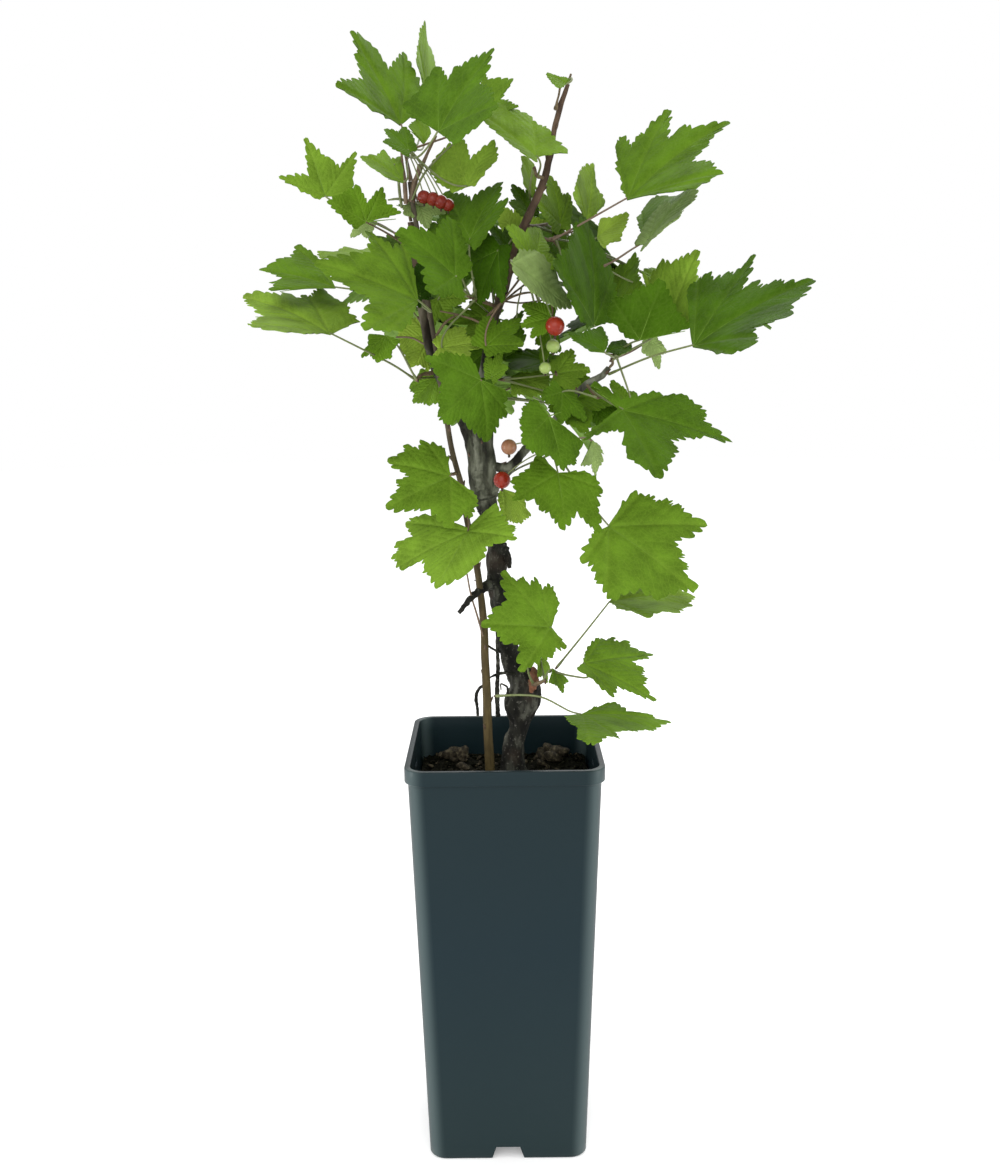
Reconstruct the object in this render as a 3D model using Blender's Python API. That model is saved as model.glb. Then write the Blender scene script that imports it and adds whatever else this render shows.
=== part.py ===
"""A young red currant bush in a tall square pot: pot, compost, trunk, boughs and masses of foliage.

The plant is set out on a front drawing, as seen by an eye before it. A point of the drawing and
a depth behind the pot's axis give a place. Leaves are drawn by the tips of their lobes, and
each blade's tilt follows from how long its lobes look. Twigs, leaf stalks and the leaves on
the far side grow by a seeded rule. Metres, +Z up, the front faces -Y."""

import math
from types import SimpleNamespace

import bmesh
import bpy
import numpy as np
from mathutils import Vector

MM = 0.001
GAP = 0.3 * MM

# Pot and compost
POT_WIDTH = 0.105
POT_HEIGHT = 0.230
FOOT_WIDTH = 0.0868
WALL = 1.6 * MM
COLLAR_HEIGHT = 8 * MM
COLLAR_STEP = 1.5 * MM
CORNER = 9 * MM
CORNER_STEPS = 5
FLOOR_HEIGHT = 8.5 * MM
FLOOR_WALL = 1.8 * MM
FOOT_WALL = 2.6 * MM
FOOT_ROUND = 1.2 * MM
NOTCH_WIDTH = 18 * MM
NOTCH_TOP_WIDTH = 13 * MM
NOTCH_HEIGHT = 7.5 * MM
SLOT_LENGTH = 12 * MM
SLOT_HEIGHT = 2.2 * MM
SLOT_DROP = 12 * MM
SOIL_DROP = 22 * MM
SOIL_TOP = POT_HEIGHT - SOIL_DROP
MOUNDS = (
    dict(at=(-20 * MM, -34 * MM), wide=15 * MM, high=10 * MM),
    dict(at=(24 * MM, -33 * MM), wide=16 * MM, high=11 * MM),
    dict(at=(-28 * MM, 30 * MM), wide=14 * MM, high=6 * MM),
    dict(at=(30 * MM, 30 * MM), wide=14 * MM, high=7 * MM),
)
SOIL_RINGS = (1.0, 0.84, 0.68, 0.54, 0.2, 0.07)
LEVEL_SHARE = 0.6

# The front drawing: the eye that sees it, and its middle and its reach in its own units
EYE = np.array([-1.5 * MM, -684.5 * MM, 442.8 * MM])
LOOKS_DOWN = math.radians(10.14)
LEANS = math.radians(-0.57)
FOCAL = 1260.0
MIDDLE = np.array([500.0, 584.0])

# Leaves, as shares of a leaf's length from its stalk to its tip
SIDE_LOBE = (math.radians(57), 0.85)
BASAL_LOBE = (math.radians(112), 0.52)
UPPER_SINUS = 0.62
LOWER_SINUS = 0.70
NOTCH = 0.09
BULGE = 0.13
RIM_CORNERS = [0, 2, 4, 5, 6, 7, 8, 9, 10, 11, 12, 13, 14, 15, 16, 18]
FAR_CORNERS = [0, 2, 4, 6, 8, 9, 10, 11, 12, 14, 16, 18]
FOLDED_AWAY = 0.14
FOLD = 0.16
DROOP = 0.14
LONGEST_LEAF = 78 * MM
LEAF_THICKNESS = 0.9 * MM

# Twigs and leaf stalks
STEM_RADII = (1.7 * MM, 1.1 * MM)
STEM_STRAIGHT = 2.5 * MM
STALK_RADII = (0.85 * MM, 0.70 * MM)
STEM_RINGS = [0, 1, 3, 5, 8]
STALK_SUNK = 0.13
STALK_END = 0.3 * MM
STALK_STARTS = (0.0, 0.2, -0.2)
STALK_BENDS = (0.0, 0.12, 0.22, 0.34, 0.46)
TURNED_BACK = -0.2
SHARPEST = -0.1
BERRY_STALK = 0.6 * MM
APART = 2.4 * MM
FAR_APART = 3.0 * MM
CHORD_STEP = 1.2 * MM
ROOM = 0.7 * MM
LEAST_ROOM = 0.25 * MM
SETTLE_PASSES = 90
SETTLE_STEP = 1.3 * MM
DEEPEST = 0.150
SEED = 31
TOUCHING = 0.0002 * MM
FAR_TRIES = 400
UNION_TRIES = 10
MOST_LEFT_OUT = 8
THICKEN = 0.023
SHORTEST_EDGE = 0.0015 * MM


# Limbs, as (across, down, depth in mm, diameter in mm) from the ground or fork to the tip
LIMBS = {
    "trunk": (
        (514, 790, 0, 17.0),
        (513, 765, 0, 13.5),
        (514, 742, 0, 11.0),
        (520, 722, 0, 11.0),
        (521, 706, 0, 19.0),
        (525, 688, 0, 17.5),
        (513, 662, 0, 11.5),
        (505, 632, 0, 10.5),
        (500, 602, 0, 10.0),
        (496, 582, 0, 10.0),
        (497, 562, 0, 11.0),
        (496, 543, 0, 9.0),
        (491, 520, 0, 9.0),
        (485, 499, 0, 12.5),
    ),
    "left_bough": (
        (479, 496, 2, 5.6),
        (474, 480, 3, 6.0),
        (469, 457, 4, 6.2),
        (461, 433, 5, 5.8),
        (448, 400, 6, 5.4),
        (437, 374, 6, 5.2),
        (430, 350, 6, 5.0),
        (424, 320, 6, 4.8),
        (420, 288, 6, 4.6),
        (415, 250, 5, 4.2),
        (411, 222, 4, 3.8),
    ),
    "right_bough": (
        (491, 496, 0, 5.6),
        (489, 478, 0, 6.4),
        (487, 445, 1, 6.2),
        (485, 410, 2, 5.8),
        (484, 378, 2, 5.4),
        (487, 358, 2, 5.4),
        (491, 335, 2, 5.0),
        (497, 310, 2, 4.8),
        (505, 288, 1, 4.8),
        (511, 262, 0, 4.6),
        (517, 241, -1, 4.6),
        (528, 217, -2, 4.8),
        (541, 188, -4, 4.4),
        (549, 161, -6, 4.0),
        (555, 127, -8, 3.4),
        (561, 104, -9, 3.0),
        (568, 84, -10, 2.4),
    ),
    "side_bough": (
        (498, 482, -2, 4.6),
        (508, 467, -4, 4.8),
        (526, 449, -7, 4.4),
        (548, 428, -8, 3.8),
        (570, 402, -9, 3.4),
        (588, 383, -10, 3.2),
        (603, 375, -11, 3.2),
        (609, 368, -12, 3.0),
    ),
    "young_shoot": (
        (491, 790, -14, 5.6),
        (490, 767, -14, 5.4),
        (488, 732, -14, 5.0),
        (487, 697, -14, 4.8),
        (485, 656, -14, 4.4),
        (484, 627, -13, 4.2),
        (481, 597, -13, 4.0),
        (477, 568, -12, 3.9),
        (468, 525, -11, 3.8),
        (460, 480, -10, 3.8),
        (453, 455, -9, 3.7),
        (447, 422, -8, 3.6),
        (441, 385, -7, 3.5),
        (437, 355, -6, 3.4),
        (431, 320, -6, 3.3),
        (425, 285, -7, 3.2),
        (419, 240, -8, 3.2),
        (413, 205, -8, 3.2),
        (410, 182, -8, 3.2),
    ),
}
ROOTED = ("trunk", "young_shoot")
FORK_OFFSET = {"left_bough": -3.2 * MM, "right_bough": 3.2 * MM}
SIDE_HOST = "right_bough"
LIMB_SIDES = {"trunk": 8, "left_bough": 6, "right_bough": 6, "side_bough": 6, "young_shoot": 5}
SNAGS = (
    ((494, 581, 0, 4.2), (484, 588, -6, 3.2), (472, 597, -9, 2.4), (459, 613, -10, 1.6)),
    ((500, 546, 0, 5.0), (505, 556, -2, 3.2), (509, 567, -3, 1.0)),
)


def leaf(base, *lobes, depth, lean=0, pale=False):
    """A drawn leaf. base is where its stalk joins, and lobes are the tips in order round it: side,
    main, side; or basal, side, main, side, basal; or main and one side, with the other half folded
    away. lean is +1 where the tip points back, -1 where it points forward, and 0 where the upper
    face looks up. A pale leaf shows its underside."""
    return SimpleNamespace(base=base, lobes=lobes, depth=depth * MM, lean=lean, pale=pale)


def mass(limb, stem, leaves, berries=()):
    """A mass of foliage: the limb that its stem springs from, the stem's points as (across, down,
    depth in mm), its drawn leaves, and its berries as (across, down, depth in mm, diameter in mm)."""
    return SimpleNamespace(limb=limb, stem=stem, leaves=leaves, berries=berries)


MASSES = {
    "crown_top_left": mass(
        "young_shoot",
        ((408, 168, -8), (405, 152, -9), (402, 140, -10)),
        (
            leaf((401, 124), (336, 83), (348, 33), (407, 50), depth=-12),
            leaf((403, 182), (372, 177), (361, 152), (386, 151), depth=-18),
            leaf((425, 92), (415, 52), (420, 22), (436, 64), depth=12),
            leaf((438, 131), (440, 67), (493, 48), (494, 106), depth=-26),
            leaf((480, 121), (482, 81), (513, 80), (519, 107), depth=4),
            leaf((467, 186), (429, 172), (452, 140), (493, 139), (500, 166), (490, 182), depth=-22),
            leaf((424, 144), (408, 128), (414, 117), (429, 122), depth=-4),
            leaf((408, 150), (383, 142), (386, 128), (404, 127), depth=-16),
        ),
        berries=((424, 197, -16, 8.6), (433, 199, -17, 8.8), (441, 202, -18, 8.8), (448, 205, -17, 8.0)),
    ),
    "left_upper": mass(
        "left_bough",
        ((405, 240, -2), (397, 234, -8)),
        (
            leaf((325, 196), (281, 178), (306, 140), (354, 155), depth=-16),
            leaf((366, 222), (327, 200), (352, 184), (382, 187), (399, 210), (385, 220), depth=-30),
            leaf((370, 222), (352, 222), (350, 236), (368, 238), depth=-6),
        ),
    ),
    "left_middle": mass(
        "left_bough",
        ((409, 292, 0), (400, 296, -8)),
        (
            leaf((418, 300), (390, 330), (363, 328), (316, 261), (370, 229), (402, 243), depth=-34),
            leaf((335, 287), (272, 292), (260, 269), (296, 245), depth=-6),
            leaf((374, 262), (340, 256), (312, 251), (345, 246), depth=24),
            leaf((420, 296), (398, 284), (400, 256), (421, 262), depth=-14),
        ),
    ),
    "left_low": mass(
        "left_bough",
        ((424, 374, 0), (416, 380, -6)),
        (
            leaf((330, 333), (250, 325), (243, 297), (305, 294), (358, 318), depth=-30),
            leaf((386, 336), (360, 357), (377, 364), (398, 349), depth=-12),
        ),
    ),
    "centre_left": mass(
        "right_bough",
        ((480, 300, -10), (468, 296, -18)),
        (
            leaf((456, 276), (430, 292), (398, 230), (452, 218), depth=-46),
            leaf((470, 238), (448, 194), (499, 181), (508, 200), depth=-28),
            leaf((498, 250), (456, 274), (478, 304), (503, 300), depth=-30),
            leaf((442, 348), (463, 327), (486, 342), (468, 360), depth=-6),
            leaf((438, 300), (428, 330), (450, 322), (470, 296), depth=20),
            leaf((446, 236), (427, 222), (441, 216), (462, 214), depth=-8),
        ),
    ),
    "centre_right": mass(
        "right_bough",
        ((521, 262, -10), (528, 272, -16)),
        (
            leaf((534, 262), (507, 226), (540, 229), (557, 262), depth=-36),
            leaf((512, 262), (566, 311), (537, 250), depth=-50, pale=True),
            leaf((552, 318), (523, 304), (521, 326), (531, 338), depth=-20),
            leaf((516, 236), (500, 206), (527, 200), (546, 222), depth=22),
            leaf((486, 346), (487, 316), (520, 318), (524, 345), depth=-20),
            leaf((560, 224), (536, 203), (551, 175), (569, 194), depth=6),
        ),
        berries=((555, 326, -34, 10.6), (553, 346, -26, 7.6), (545, 368, -24, 6.6)),
    ),
    "centre_low": mass(
        "right_bough",
        ((496, 378, -8), (504, 380, -14)),
        (
            leaf((481, 380), (425, 357), (441, 417), (487, 443), (508, 415), (512, 393), depth=-40),
            leaf((492, 377), (487, 357), (501, 352), (508, 368), depth=-12),
            leaf((511, 377), (520, 392), (548, 388), (536, 364), depth=-12),
            leaf((556, 374), (573, 350), (590, 369), (583, 392), depth=-4),
        ),
    ),
    "trunk_left": mass(
        "young_shoot",
        ((452, 474, -14), (444, 480, -18)),
        (
            leaf((450, 476), (425, 440), (387, 461), (388, 508), (452, 521), (478, 500), depth=-26),
            leaf((468, 531), (497, 507), (406, 522), (398, 568), (436, 587), (517, 537), depth=-40),
        ),
    ),
    "right_low": mass(
        "side_bough",
        ((548, 440, -14), (556, 452, -20)),
        (
            leaf((549, 416), (535, 400), (522, 446), (562, 466), (582, 440), (574, 408), depth=-30),
            leaf((558, 473), (536, 456), (513, 500), (566, 528), (603, 489), (584, 472), depth=-26),
            leaf((609, 526), (583, 562), (606, 597), (695, 592), (709, 523), (640, 494), depth=-34),
            leaf((592, 441), (582, 462), (596, 477), (600, 460), depth=6, pale=True),
            leaf((503, 489), (504, 520), (532, 516), (524, 496), depth=2),
        ),
        berries=((509, 447, -14, 9.0), (502, 480, -20, 9.8)),
    ),
    "base_right": mass(
        "trunk",
        ((536, 684, -16), (546, 680, -20)),
        (
            leaf((551, 627), (540, 577), (502, 573), (482, 623), (521, 672), (566, 650), depth=-24),
            leaf((610, 601), (637, 578), (694, 594), (647, 617), depth=-10),
            leaf((584, 663), (600, 640), (653, 654), (655, 700), (614, 694), depth=-36),
            leaf((581, 714), (618, 703), (670, 721), (617, 738), (590, 748), depth=-46),
            leaf((553, 669), (552, 684), (563, 692), (569, 679), depth=-22),
            leaf((541, 661), (538, 676), (547, 683), (551, 672), depth=-12),
        ),
    ),
    "right_middle": mass(
        "side_bough",
        ((612, 358, -13), (616, 352, -14)),
        (
            leaf((693, 345), (700, 279), (756, 256), (809, 277), (757, 336), (732, 353), depth=-52),
            leaf((668, 325), (643, 270), (698, 251), (694, 318), depth=-16),
            leaf((640, 340), (612, 298), (662, 282), (690, 330), depth=-36),
            leaf((604, 352), (606, 334), (572, 334), (586, 351), depth=-26),
            leaf((606, 352), (632, 346), (620, 354), depth=-26),
            leaf((650, 340), (642, 352), (660, 369), (666, 352), depth=8, pale=True),
            leaf((630, 408), (606, 399), (612, 380), (635, 392), depth=10),
        ),
    ),
    "right_reach": mass(
        "side_bough",
        ((592, 392, -20), (598, 398, -26)),
        (
            leaf((623, 409), (590, 384), (678, 389), (731, 443), (660, 474), (582, 438), depth=-46),
            leaf((562, 392), (542, 398), (560, 424), (586, 420), depth=-18),
        ),
    ),
    "right_upper": mass(
        "right_bough",
        ((548, 240, 2), (560, 236, 6)),
        (
            leaf((627, 198), (614, 152), (669, 109), (727, 117), (722, 172), (700, 182), depth=-6),
            leaf((646, 241), (641, 209), (697, 187), (684, 214), depth=12, pale=True),
            leaf((586, 222), (574, 180), (590, 164), (604, 205), depth=12),
            leaf((597, 238), (600, 217), (628, 215), (606, 249), depth=16),
            leaf((595, 326), (553, 262), (588, 216), (614, 268), depth=-4),
            leaf((612, 304), (613, 268), (637, 252), (641, 288), depth=14),
        ),
    ),
    "top_right": mass(
        "right_bough",
        ((537, 176, -14), (534, 168, -20)),
        (
            leaf((537, 156), (464, 106), (531, 115), depth=-34),
            leaf((532, 198), (519, 176), (527, 160), (536, 172), depth=-2),
        ),
    ),
    "leader_tip": mass(
        "right_bough",
        ((569, 80, -10), (571, 74, -12)),
        (leaf((566, 84), (556, 83), (546, 72), (562, 69), (574, 76), depth=-17),),
    ),
}
DENSE = (
    (418, 175), (455, 190), (500, 192), (525, 212), (560, 182), (600, 215), (606, 250), (640, 272),
    (662, 298), (640, 330), (602, 336), (588, 352), (602, 385), (590, 440), (560, 460), (530, 450),
    (518, 400), (480, 402), (445, 375), (415, 352), (385, 328), (368, 290), (385, 250), (400, 215),
)
COVERED = 0.86
BACKS = {
    "back_top": ("left_bough", ((411, 212, 8), (419, 165, 28)), (395, 60, 520, 190), (15, 80), 5),
    "back_left": ("left_bough", ((418, 300, 20), (410, 290, 40)), (300, 200, 440, 330), (30, 130), 8),
    "back_middle": ("right_bough", ((496, 318, 16), (500, 310, 40)), (420, 190, 560, 340), (14, 140), 13),
    "back_right": ("right_bough", ((530, 226, 14), (560, 222, 46)), (540, 150, 720, 340), (20, 140), 11),
    "back_low": ("right_bough", ((492, 394, 14), (500, 400, 36)), (440, 330, 620, 470), (14, 110), 8),
    "back_base": ("trunk", ((508, 590, 14), (520, 580, 30)), (500, 480, 690, 600), (25, 90), 1),
}


# Growth: the drawing, limbs, blades, and the twigs and stalks that join them


def sight_lines(points):
    """Directions from the eye through points of the drawing, each one unit deep along +Y."""
    across, down = ((np.atleast_2d(points) - MIDDLE) / FOCAL).T[..., None]
    ahead = np.array([0, math.cos(LOOKS_DOWN), -math.sin(LOOKS_DOWN)])
    above = np.array([0, math.sin(LOOKS_DOWN), math.cos(LOOKS_DOWN)])
    right = np.array([math.cos(LEANS), 0, 0]) + math.sin(LEANS) * above
    up = math.cos(LEANS) * above - np.array([math.sin(LEANS), 0, 0])
    lines = ahead + across * right - down * up
    return lines / lines[:, 1:2]


def place(points, depth):
    """Places of points of the drawing at a depth behind the pot's axis."""
    return EYE + sight_lines(points) * (np.reshape(depth, (-1, 1)) - EYE[1])


def drawn(places):
    """Points of the drawing where places show: the inverse of place."""
    ahead = np.array([0, math.cos(LOOKS_DOWN), -math.sin(LOOKS_DOWN)])
    above = np.array([0, math.sin(LOOKS_DOWN), math.cos(LOOKS_DOWN)])
    right = np.array([math.cos(LEANS), 0, 0]) + math.sin(LEANS) * above
    up = math.cos(LEANS) * above - np.array([math.sin(LEANS), 0, 0])
    seen = places - EYE
    far = seen @ ahead
    return MIDDLE + FOCAL * np.stack([seen @ right / far, -(seen @ up) / far], -1)


def unit(vectors):
    """Vectors scaled to a length of one."""
    return vectors / np.linalg.norm(vectors, axis=-1, keepdims=True)


def smooth_path(points, count):
    """count places on a smooth curve through points: cubic pieces whose slopes are the mean slope
    between each point's neighbours, spread evenly along the chords."""
    points = np.asarray(points, float)
    reach = np.r_[0, np.cumsum(np.linalg.norm(np.diff(points[:, :3], axis=0), axis=1))]
    slopes = np.gradient(points, reach, axis=0)
    at = np.linspace(0, reach[-1], count)
    i = np.clip(np.searchsorted(reach, at, side="right") - 1, 0, len(reach) - 2)
    step = (reach[i + 1] - reach[i])[:, None]
    t = (at - reach[i])[:, None] / step
    start, end = points[i], points[i + 1]
    bend = (t**3 - 2 * t**2 + t) * slopes[i] + (t**3 - t**2) * slopes[i + 1]
    return start + (3 * t**2 - 2 * t**3) * (end - start) + step * bend


def limb(name, limbs):
    """A limb's axis, radii and first direction, on a smooth curve through its drawn stations. It
    stands on the ground, on the trunk's cut top, or against the bough that it springs from."""
    stations = np.array(LIMBS[name], float)
    axis = place(stations[:, :2], stations[:, 2] * MM)
    first = np.array([0, 0, 1.0])
    if name in ROOTED:
        low = axis[1] - axis[0]
        axis[0] += low * (SOIL_TOP + GAP - axis[0, 2]) / low[2]
    elif name in FORK_OFFSET:
        trunk = limbs["trunk"]
        first = unit(trunk.axis[-1] - trunk.axis[-2])
        aside = unit(np.cross([0, 1.0, 0], first)) * FORK_OFFSET[name]
        axis[0] = trunk.axis[-1] + first * GAP + aside
    else:
        axis[0], first = spring(limbs[SIDE_HOST], axis[1])
    curve = np.c_[axis, stations[:, 3] * MM / 2]
    path = smooth_path(curve, 2 * len(stations))
    probe = smooth_path(curve, 8 * len(stations))
    return SimpleNamespace(
        name=name, axis=path[:, :3], radius=path[:, 3], first=first, probe=probe[:, :3], thick=probe[:, 3]
    )


def spring(host, towards):
    """Where a shoot leaves a limb for a place, GAP clear of the bark, and its direction there: square
    to the limb, or straight on from its cut tip."""
    i = int(np.linalg.norm(host.probe - towards, axis=1).argmin())
    last = len(host.probe) - 1
    flow = unit(host.probe[min(i + 1, last)] - host.probe[max(i - 1, 0)])
    if i == last:
        flow = unit(host.axis[-1] - host.axis[-2])
        return host.probe[i] + flow * GAP, flow
    out = towards - host.probe[i]
    out = unit(out - out @ flow * flow)
    return host.probe[i] + out * (host.thick[i] + GAP), out


def lobe_angles(plane, base, lobes):
    """Each lobe's angle from the midrib and its length, in leaf lengths, from where its tip shows.
    A lobe that isn't drawn gets the usual one. plane is the leaf's two axes as drawn."""
    usual = [-BASAL_LOBE[0], -SIDE_LOBE[0], 0, SIDE_LOBE[0], BASAL_LOBE[0]]
    reach = [BASAL_LOBE[1], SIDE_LOBE[1], 1.0, SIDE_LOBE[1], BASAL_LOBE[1]]
    spread = ((-2.6, -1.5), (-1.45, -0.62), (0, 0), (0.62, 1.45), (1.5, 2.6))
    first = 2 - len(lobes) // 2
    for i, tip in enumerate(lobes, first):
        u, v = np.linalg.solve(plane, np.array(tip, float) - base)
        if i != 2:
            usual[i] = float(np.clip(math.atan2(v, u), *spread[i]))
            reach[i] = float(np.clip(math.hypot(u, v), 0.3, 1.15))
    return np.array(usual), np.array(reach)


def edge_of(angles, reach):
    """A blade's edge as angles from the midrib and radii in leaf lengths. Its corners are the lobes'
    tips, a sinus between each two, and the notch at the stalk. The side between two corners has a
    middle point too, which bulges outwards by a share of the side's length."""
    sinus = np.array([LOWER_SINUS, UPPER_SINUS, UPPER_SINUS, LOWER_SINUS])
    turn, radii = np.empty(9), np.empty(9)
    turn[::2], turn[1::2] = angles, (angles[1:] + angles[:-1]) / 2
    radii[::2], radii[1::2] = reach, sinus * (reach[1:] + reach[:-1]) / 2
    turn = np.r_[-math.pi, turn, math.pi]
    radii = np.r_[NOTCH, radii, NOTCH]
    corners = np.stack([radii * np.cos(turn), radii * np.sin(turn)], 1)
    side = np.diff(corners, axis=0)
    middles = corners[:-1] + side / 2 + BULGE * np.stack([side[:, 1], -side[:, 0]], 1)
    knots, edge = np.empty(21), np.empty(21)
    knots[::2], edge[::2] = turn, radii
    spread = np.diff(turn)
    angle = np.arctan2(middles[:, 1], middles[:, 0])
    knots[1::2] = np.clip(angle, turn[:-1] + 0.1 * spread, turn[1:] - 0.1 * spread)
    edge[1::2] = np.hypot(*middles.T)
    return knots, edge


def relief(u, v):
    """A blade's height over its plane, in leaf lengths: a fold along the midrib, and a droop that
    grows with the distance from the stalk."""
    return FOLD * np.abs(v) - DROOP * (u * u + 0.6 * v * v)


def make_blade(origin, along, across, knots, radii):
    """A blade from its stalk's end, its axes along the midrib and across it, and its edge. Its
    samples lie on the flat facets between its middle and its rim."""
    length = np.linalg.norm(along)
    face = unit(np.cross(along, across))
    blade = SimpleNamespace(origin=origin, along=along, across=across, face=face, length=length)
    blade.knots, blade.radii = knots, radii
    blade.lifts = relief(radii * np.cos(knots), radii * np.sin(knots))
    blade.inverse = np.linalg.inv(np.stack([along, across, face * length]))
    angle = np.linspace(-math.pi, math.pi, 37)[:-1]
    share = np.array([1.0, 0.8, 0.6, 0.4, 0.2])[:, None]
    rim = share * np.interp(angle, knots, radii)
    height = share * np.interp(angle, knots, blade.lifts)
    blade.samples = raised(blade, rim * np.cos(angle), rim * np.sin(angle), height).reshape(-1, 3)
    return blade


def raised(blade, u, v, height):
    """Places over a blade's plane at u along, v across and a height, all in leaf lengths."""
    u, v, height = (np.asarray(values, float)[..., None] for values in (u, v, height))
    return blade.origin + u * blade.along + v * blade.across + height * blade.length * blade.face


def on_blade(blade, u, v, lift=0.0):
    """Places on a blade at u along and v across, in leaf lengths, lifted off it in metres."""
    u, v = np.asarray(u, float), np.asarray(v, float)
    return raised(blade, u, v, relief(u, v) + lift / blade.length)


def drawn_blade(item):
    """The blade of a drawn leaf. With a and b its axes as drawn, its depths along them follow from
    their being square and equally long: (depth a + i depth b) squared is |b|² - |a|² - 2i a.b."""
    base = np.array(item.base, float)
    lobes = np.array(item.lobes, float)
    main = 0 if len(lobes) == 2 else len(lobes) // 2
    if len(lobes) == 4:
        main = 1 if np.linalg.norm(lobes[1] - base) > np.linalg.norm(lobes[2] - base) else 2
    tip = lobes[main]
    u, v = SIDE_LOBE[1] * math.cos(SIDE_LOBE[0]), SIDE_LOBE[1] * math.sin(SIDE_LOBE[0])
    a = tip - base
    one_sided = len(lobes) == 2
    if one_sided:
        b = (lobes[1] - base - u * a) / v
        order = [lobes[1]]
    else:
        order = [lobes[main - 1], lobes[main + 1]]
        b = (order[1] - order[0]) / (2 * v)
    turn = a[0] * b[1] - a[1] * b[0]
    if turn > 0:
        b = -b
        lobes = lobes[::-1]
    scale = (item.depth - EYE[1]) / FOCAL
    flat_a, flat_b = a * scale, b * scale
    root = np.sqrt(complex(flat_b @ flat_b - flat_a @ flat_a, -2 * flat_a @ flat_b))
    length = math.hypot(np.linalg.norm(flat_a), root.real)
    if length > LONGEST_LEAF:
        spare = max(LONGEST_LEAF**2 - max(flat_a @ flat_a, flat_b @ flat_b), 0)
        root *= math.sqrt(spare) / max(abs(root), 1e-9)
    origin = place(base, item.depth)[0]

    def axes(sign):
        along = place(base + a, item.depth + sign * root.real)[0] - origin
        across = place(base + b, item.depth + sign * root.imag)[0] - origin
        return along, across

    along, across = axes(1)
    if item.lean:
        along, across = axes(item.lean)
    elif np.cross(along, across)[2] < 0:
        along, across = axes(-1)
    if one_sided:
        knots, radii = edge_of(*lobe_angles(np.stack([a, b], 1), base, ()))
        radii = np.where((knots < 0) & (knots > -3), FOLDED_AWAY, radii)
    else:
        if len(lobes) == 4:
            main = len(lobes) - 1 - main if turn > 0 else main
            lobes = lobes[main - 1 : main + 2]
        knots, radii = edge_of(*lobe_angles(np.stack([a, b], 1), base, lobes))
    blade = make_blade(origin, along, across, knots, radii)
    blade.pale, blade.far = item.pale, False
    return blade


def clearance(points, blade):
    """How far points lie from a blade: their height over its facets, and how far they are past
    its edge."""
    u, v, w = ((points - blade.origin) @ blade.inverse).T
    angle, out = np.arctan2(v, u), np.hypot(u, v)
    edge = np.interp(angle, blade.knots, blade.radii)
    height = np.minimum(out / edge, 1) * np.interp(angle, blade.knots, blade.lifts)
    return blade.length * np.hypot(np.maximum(out - edge, 0), w - height)


def near(one, other, margin):
    """Whether two blades' boxes come within margin."""
    low = np.maximum(one.samples.min(0), other.samples.min(0)) - margin
    high = np.minimum(one.samples.max(0), other.samples.max(0)) + margin
    return bool((low < high).all())


def blade_gap(one, other, most=APART):
    """The gap between two blades, up to a most, read at the sample points of each."""
    if not near(one, other, most):
        return most
    return min(clearance(one.samples, other).min(), clearance(other.samples, one).min())


def limb_push(blade, solids):
    """Which way a blade has to move to clear the limbs and stems: forward, back or neither."""
    push = 0
    for solid in solids:
        gap = clearance(solid.probe, blade) - solid.thick
        k = int(gap.argmin())
        if gap[k] < APART:
            push += 1 if blade.samples[:, 1].mean() > solid.probe[k, 1] else -1
    return push


def settle(items, solids):
    """Moves drawn leaves back or forward along their sight lines until they are clear of each other
    and of the limbs and stems, and returns their blades."""
    blades = [drawn_blade(item) for item in items]
    between = np.zeros((len(items), len(items)))
    beside = np.zeros(len(items))
    moved = range(len(items))
    for _ in range(SETTLE_PASSES):
        for i in moved:
            beside[i] = limb_push(blades[i], solids)
            for j in range(len(items)):
                if j != i:
                    close = blade_gap(blades[i], blades[j]) < APART
                    behind = blades[i].samples[:, 1].mean() > blades[j].samples[:, 1].mean()
                    between[i, j] = close * (1 if behind else -1)
                    between[j, i] = -between[i, j]
        push = np.sign(between.sum(1) + beside)
        moved = np.flatnonzero(push)
        if not len(moved):
            break
        for i in moved:
            items[i].depth = float(np.clip(items[i].depth + SETTLE_STEP * push[i], -DEEPEST, DEEPEST))
            blades[i] = drawn_blade(items[i])
    return blades


def along_path(path, share):
    """The place at a share of the way through a path's points."""
    at = share * (len(path) - 1)
    low = int(at)
    return path[low] + (at - low) * (path[min(low + 1, len(path) - 1)] - path[low])


def stem_of(plan, limbs):
    """A mass's stem: from its limb, straight out at first, and then along its drawn points."""
    host = limbs[plan.limb]
    guide = np.concatenate([place(point[:2], point[2] * MM) for point in plan.stem])
    start, out = spring(host, guide[0])
    path = smooth_path(np.vstack([start, start + out * STEM_STRAIGHT, guide]), 9)
    path[1] = start + out * np.linalg.norm(path[1] - path[0])
    most = 0.6 * host.radius[int(np.linalg.norm(host.axis - start, axis=1).argmin())]
    radius = np.linspace(min(STEM_RADII[0], most), min(STEM_RADII[1], most), 9)
    return SimpleNamespace(axis=path, radius=radius, probe=path, thick=radius, first=out)


def curve(start, leave, arrive, end, count):
    """count places on a cubic curve from start to end, by way of two handles."""
    t = np.linspace(0, 1, count)[:, None]
    return (
        (1 - t) ** 3 * start
        + 3 * t * (1 - t) ** 2 * leave
        + 3 * t * t * (1 - t) * arrive
        + t**3 * end
    )


def stalk_rings(path, blade):
    """A stalk's rings as built: on its path, and sunk in the blade. Where the blade turns back over
    its stalk, the path's end is left out."""
    middle = len(path) // 2
    back = unit(path[-1] - path[middle]) @ unit(blade.along) < TURNED_BACK
    kept = path[[0, middle]] if back else path[[0, middle, -1]]
    return np.vstack([kept, on_blade(blade, [STALK_SUNK], [0.0])])


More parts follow.
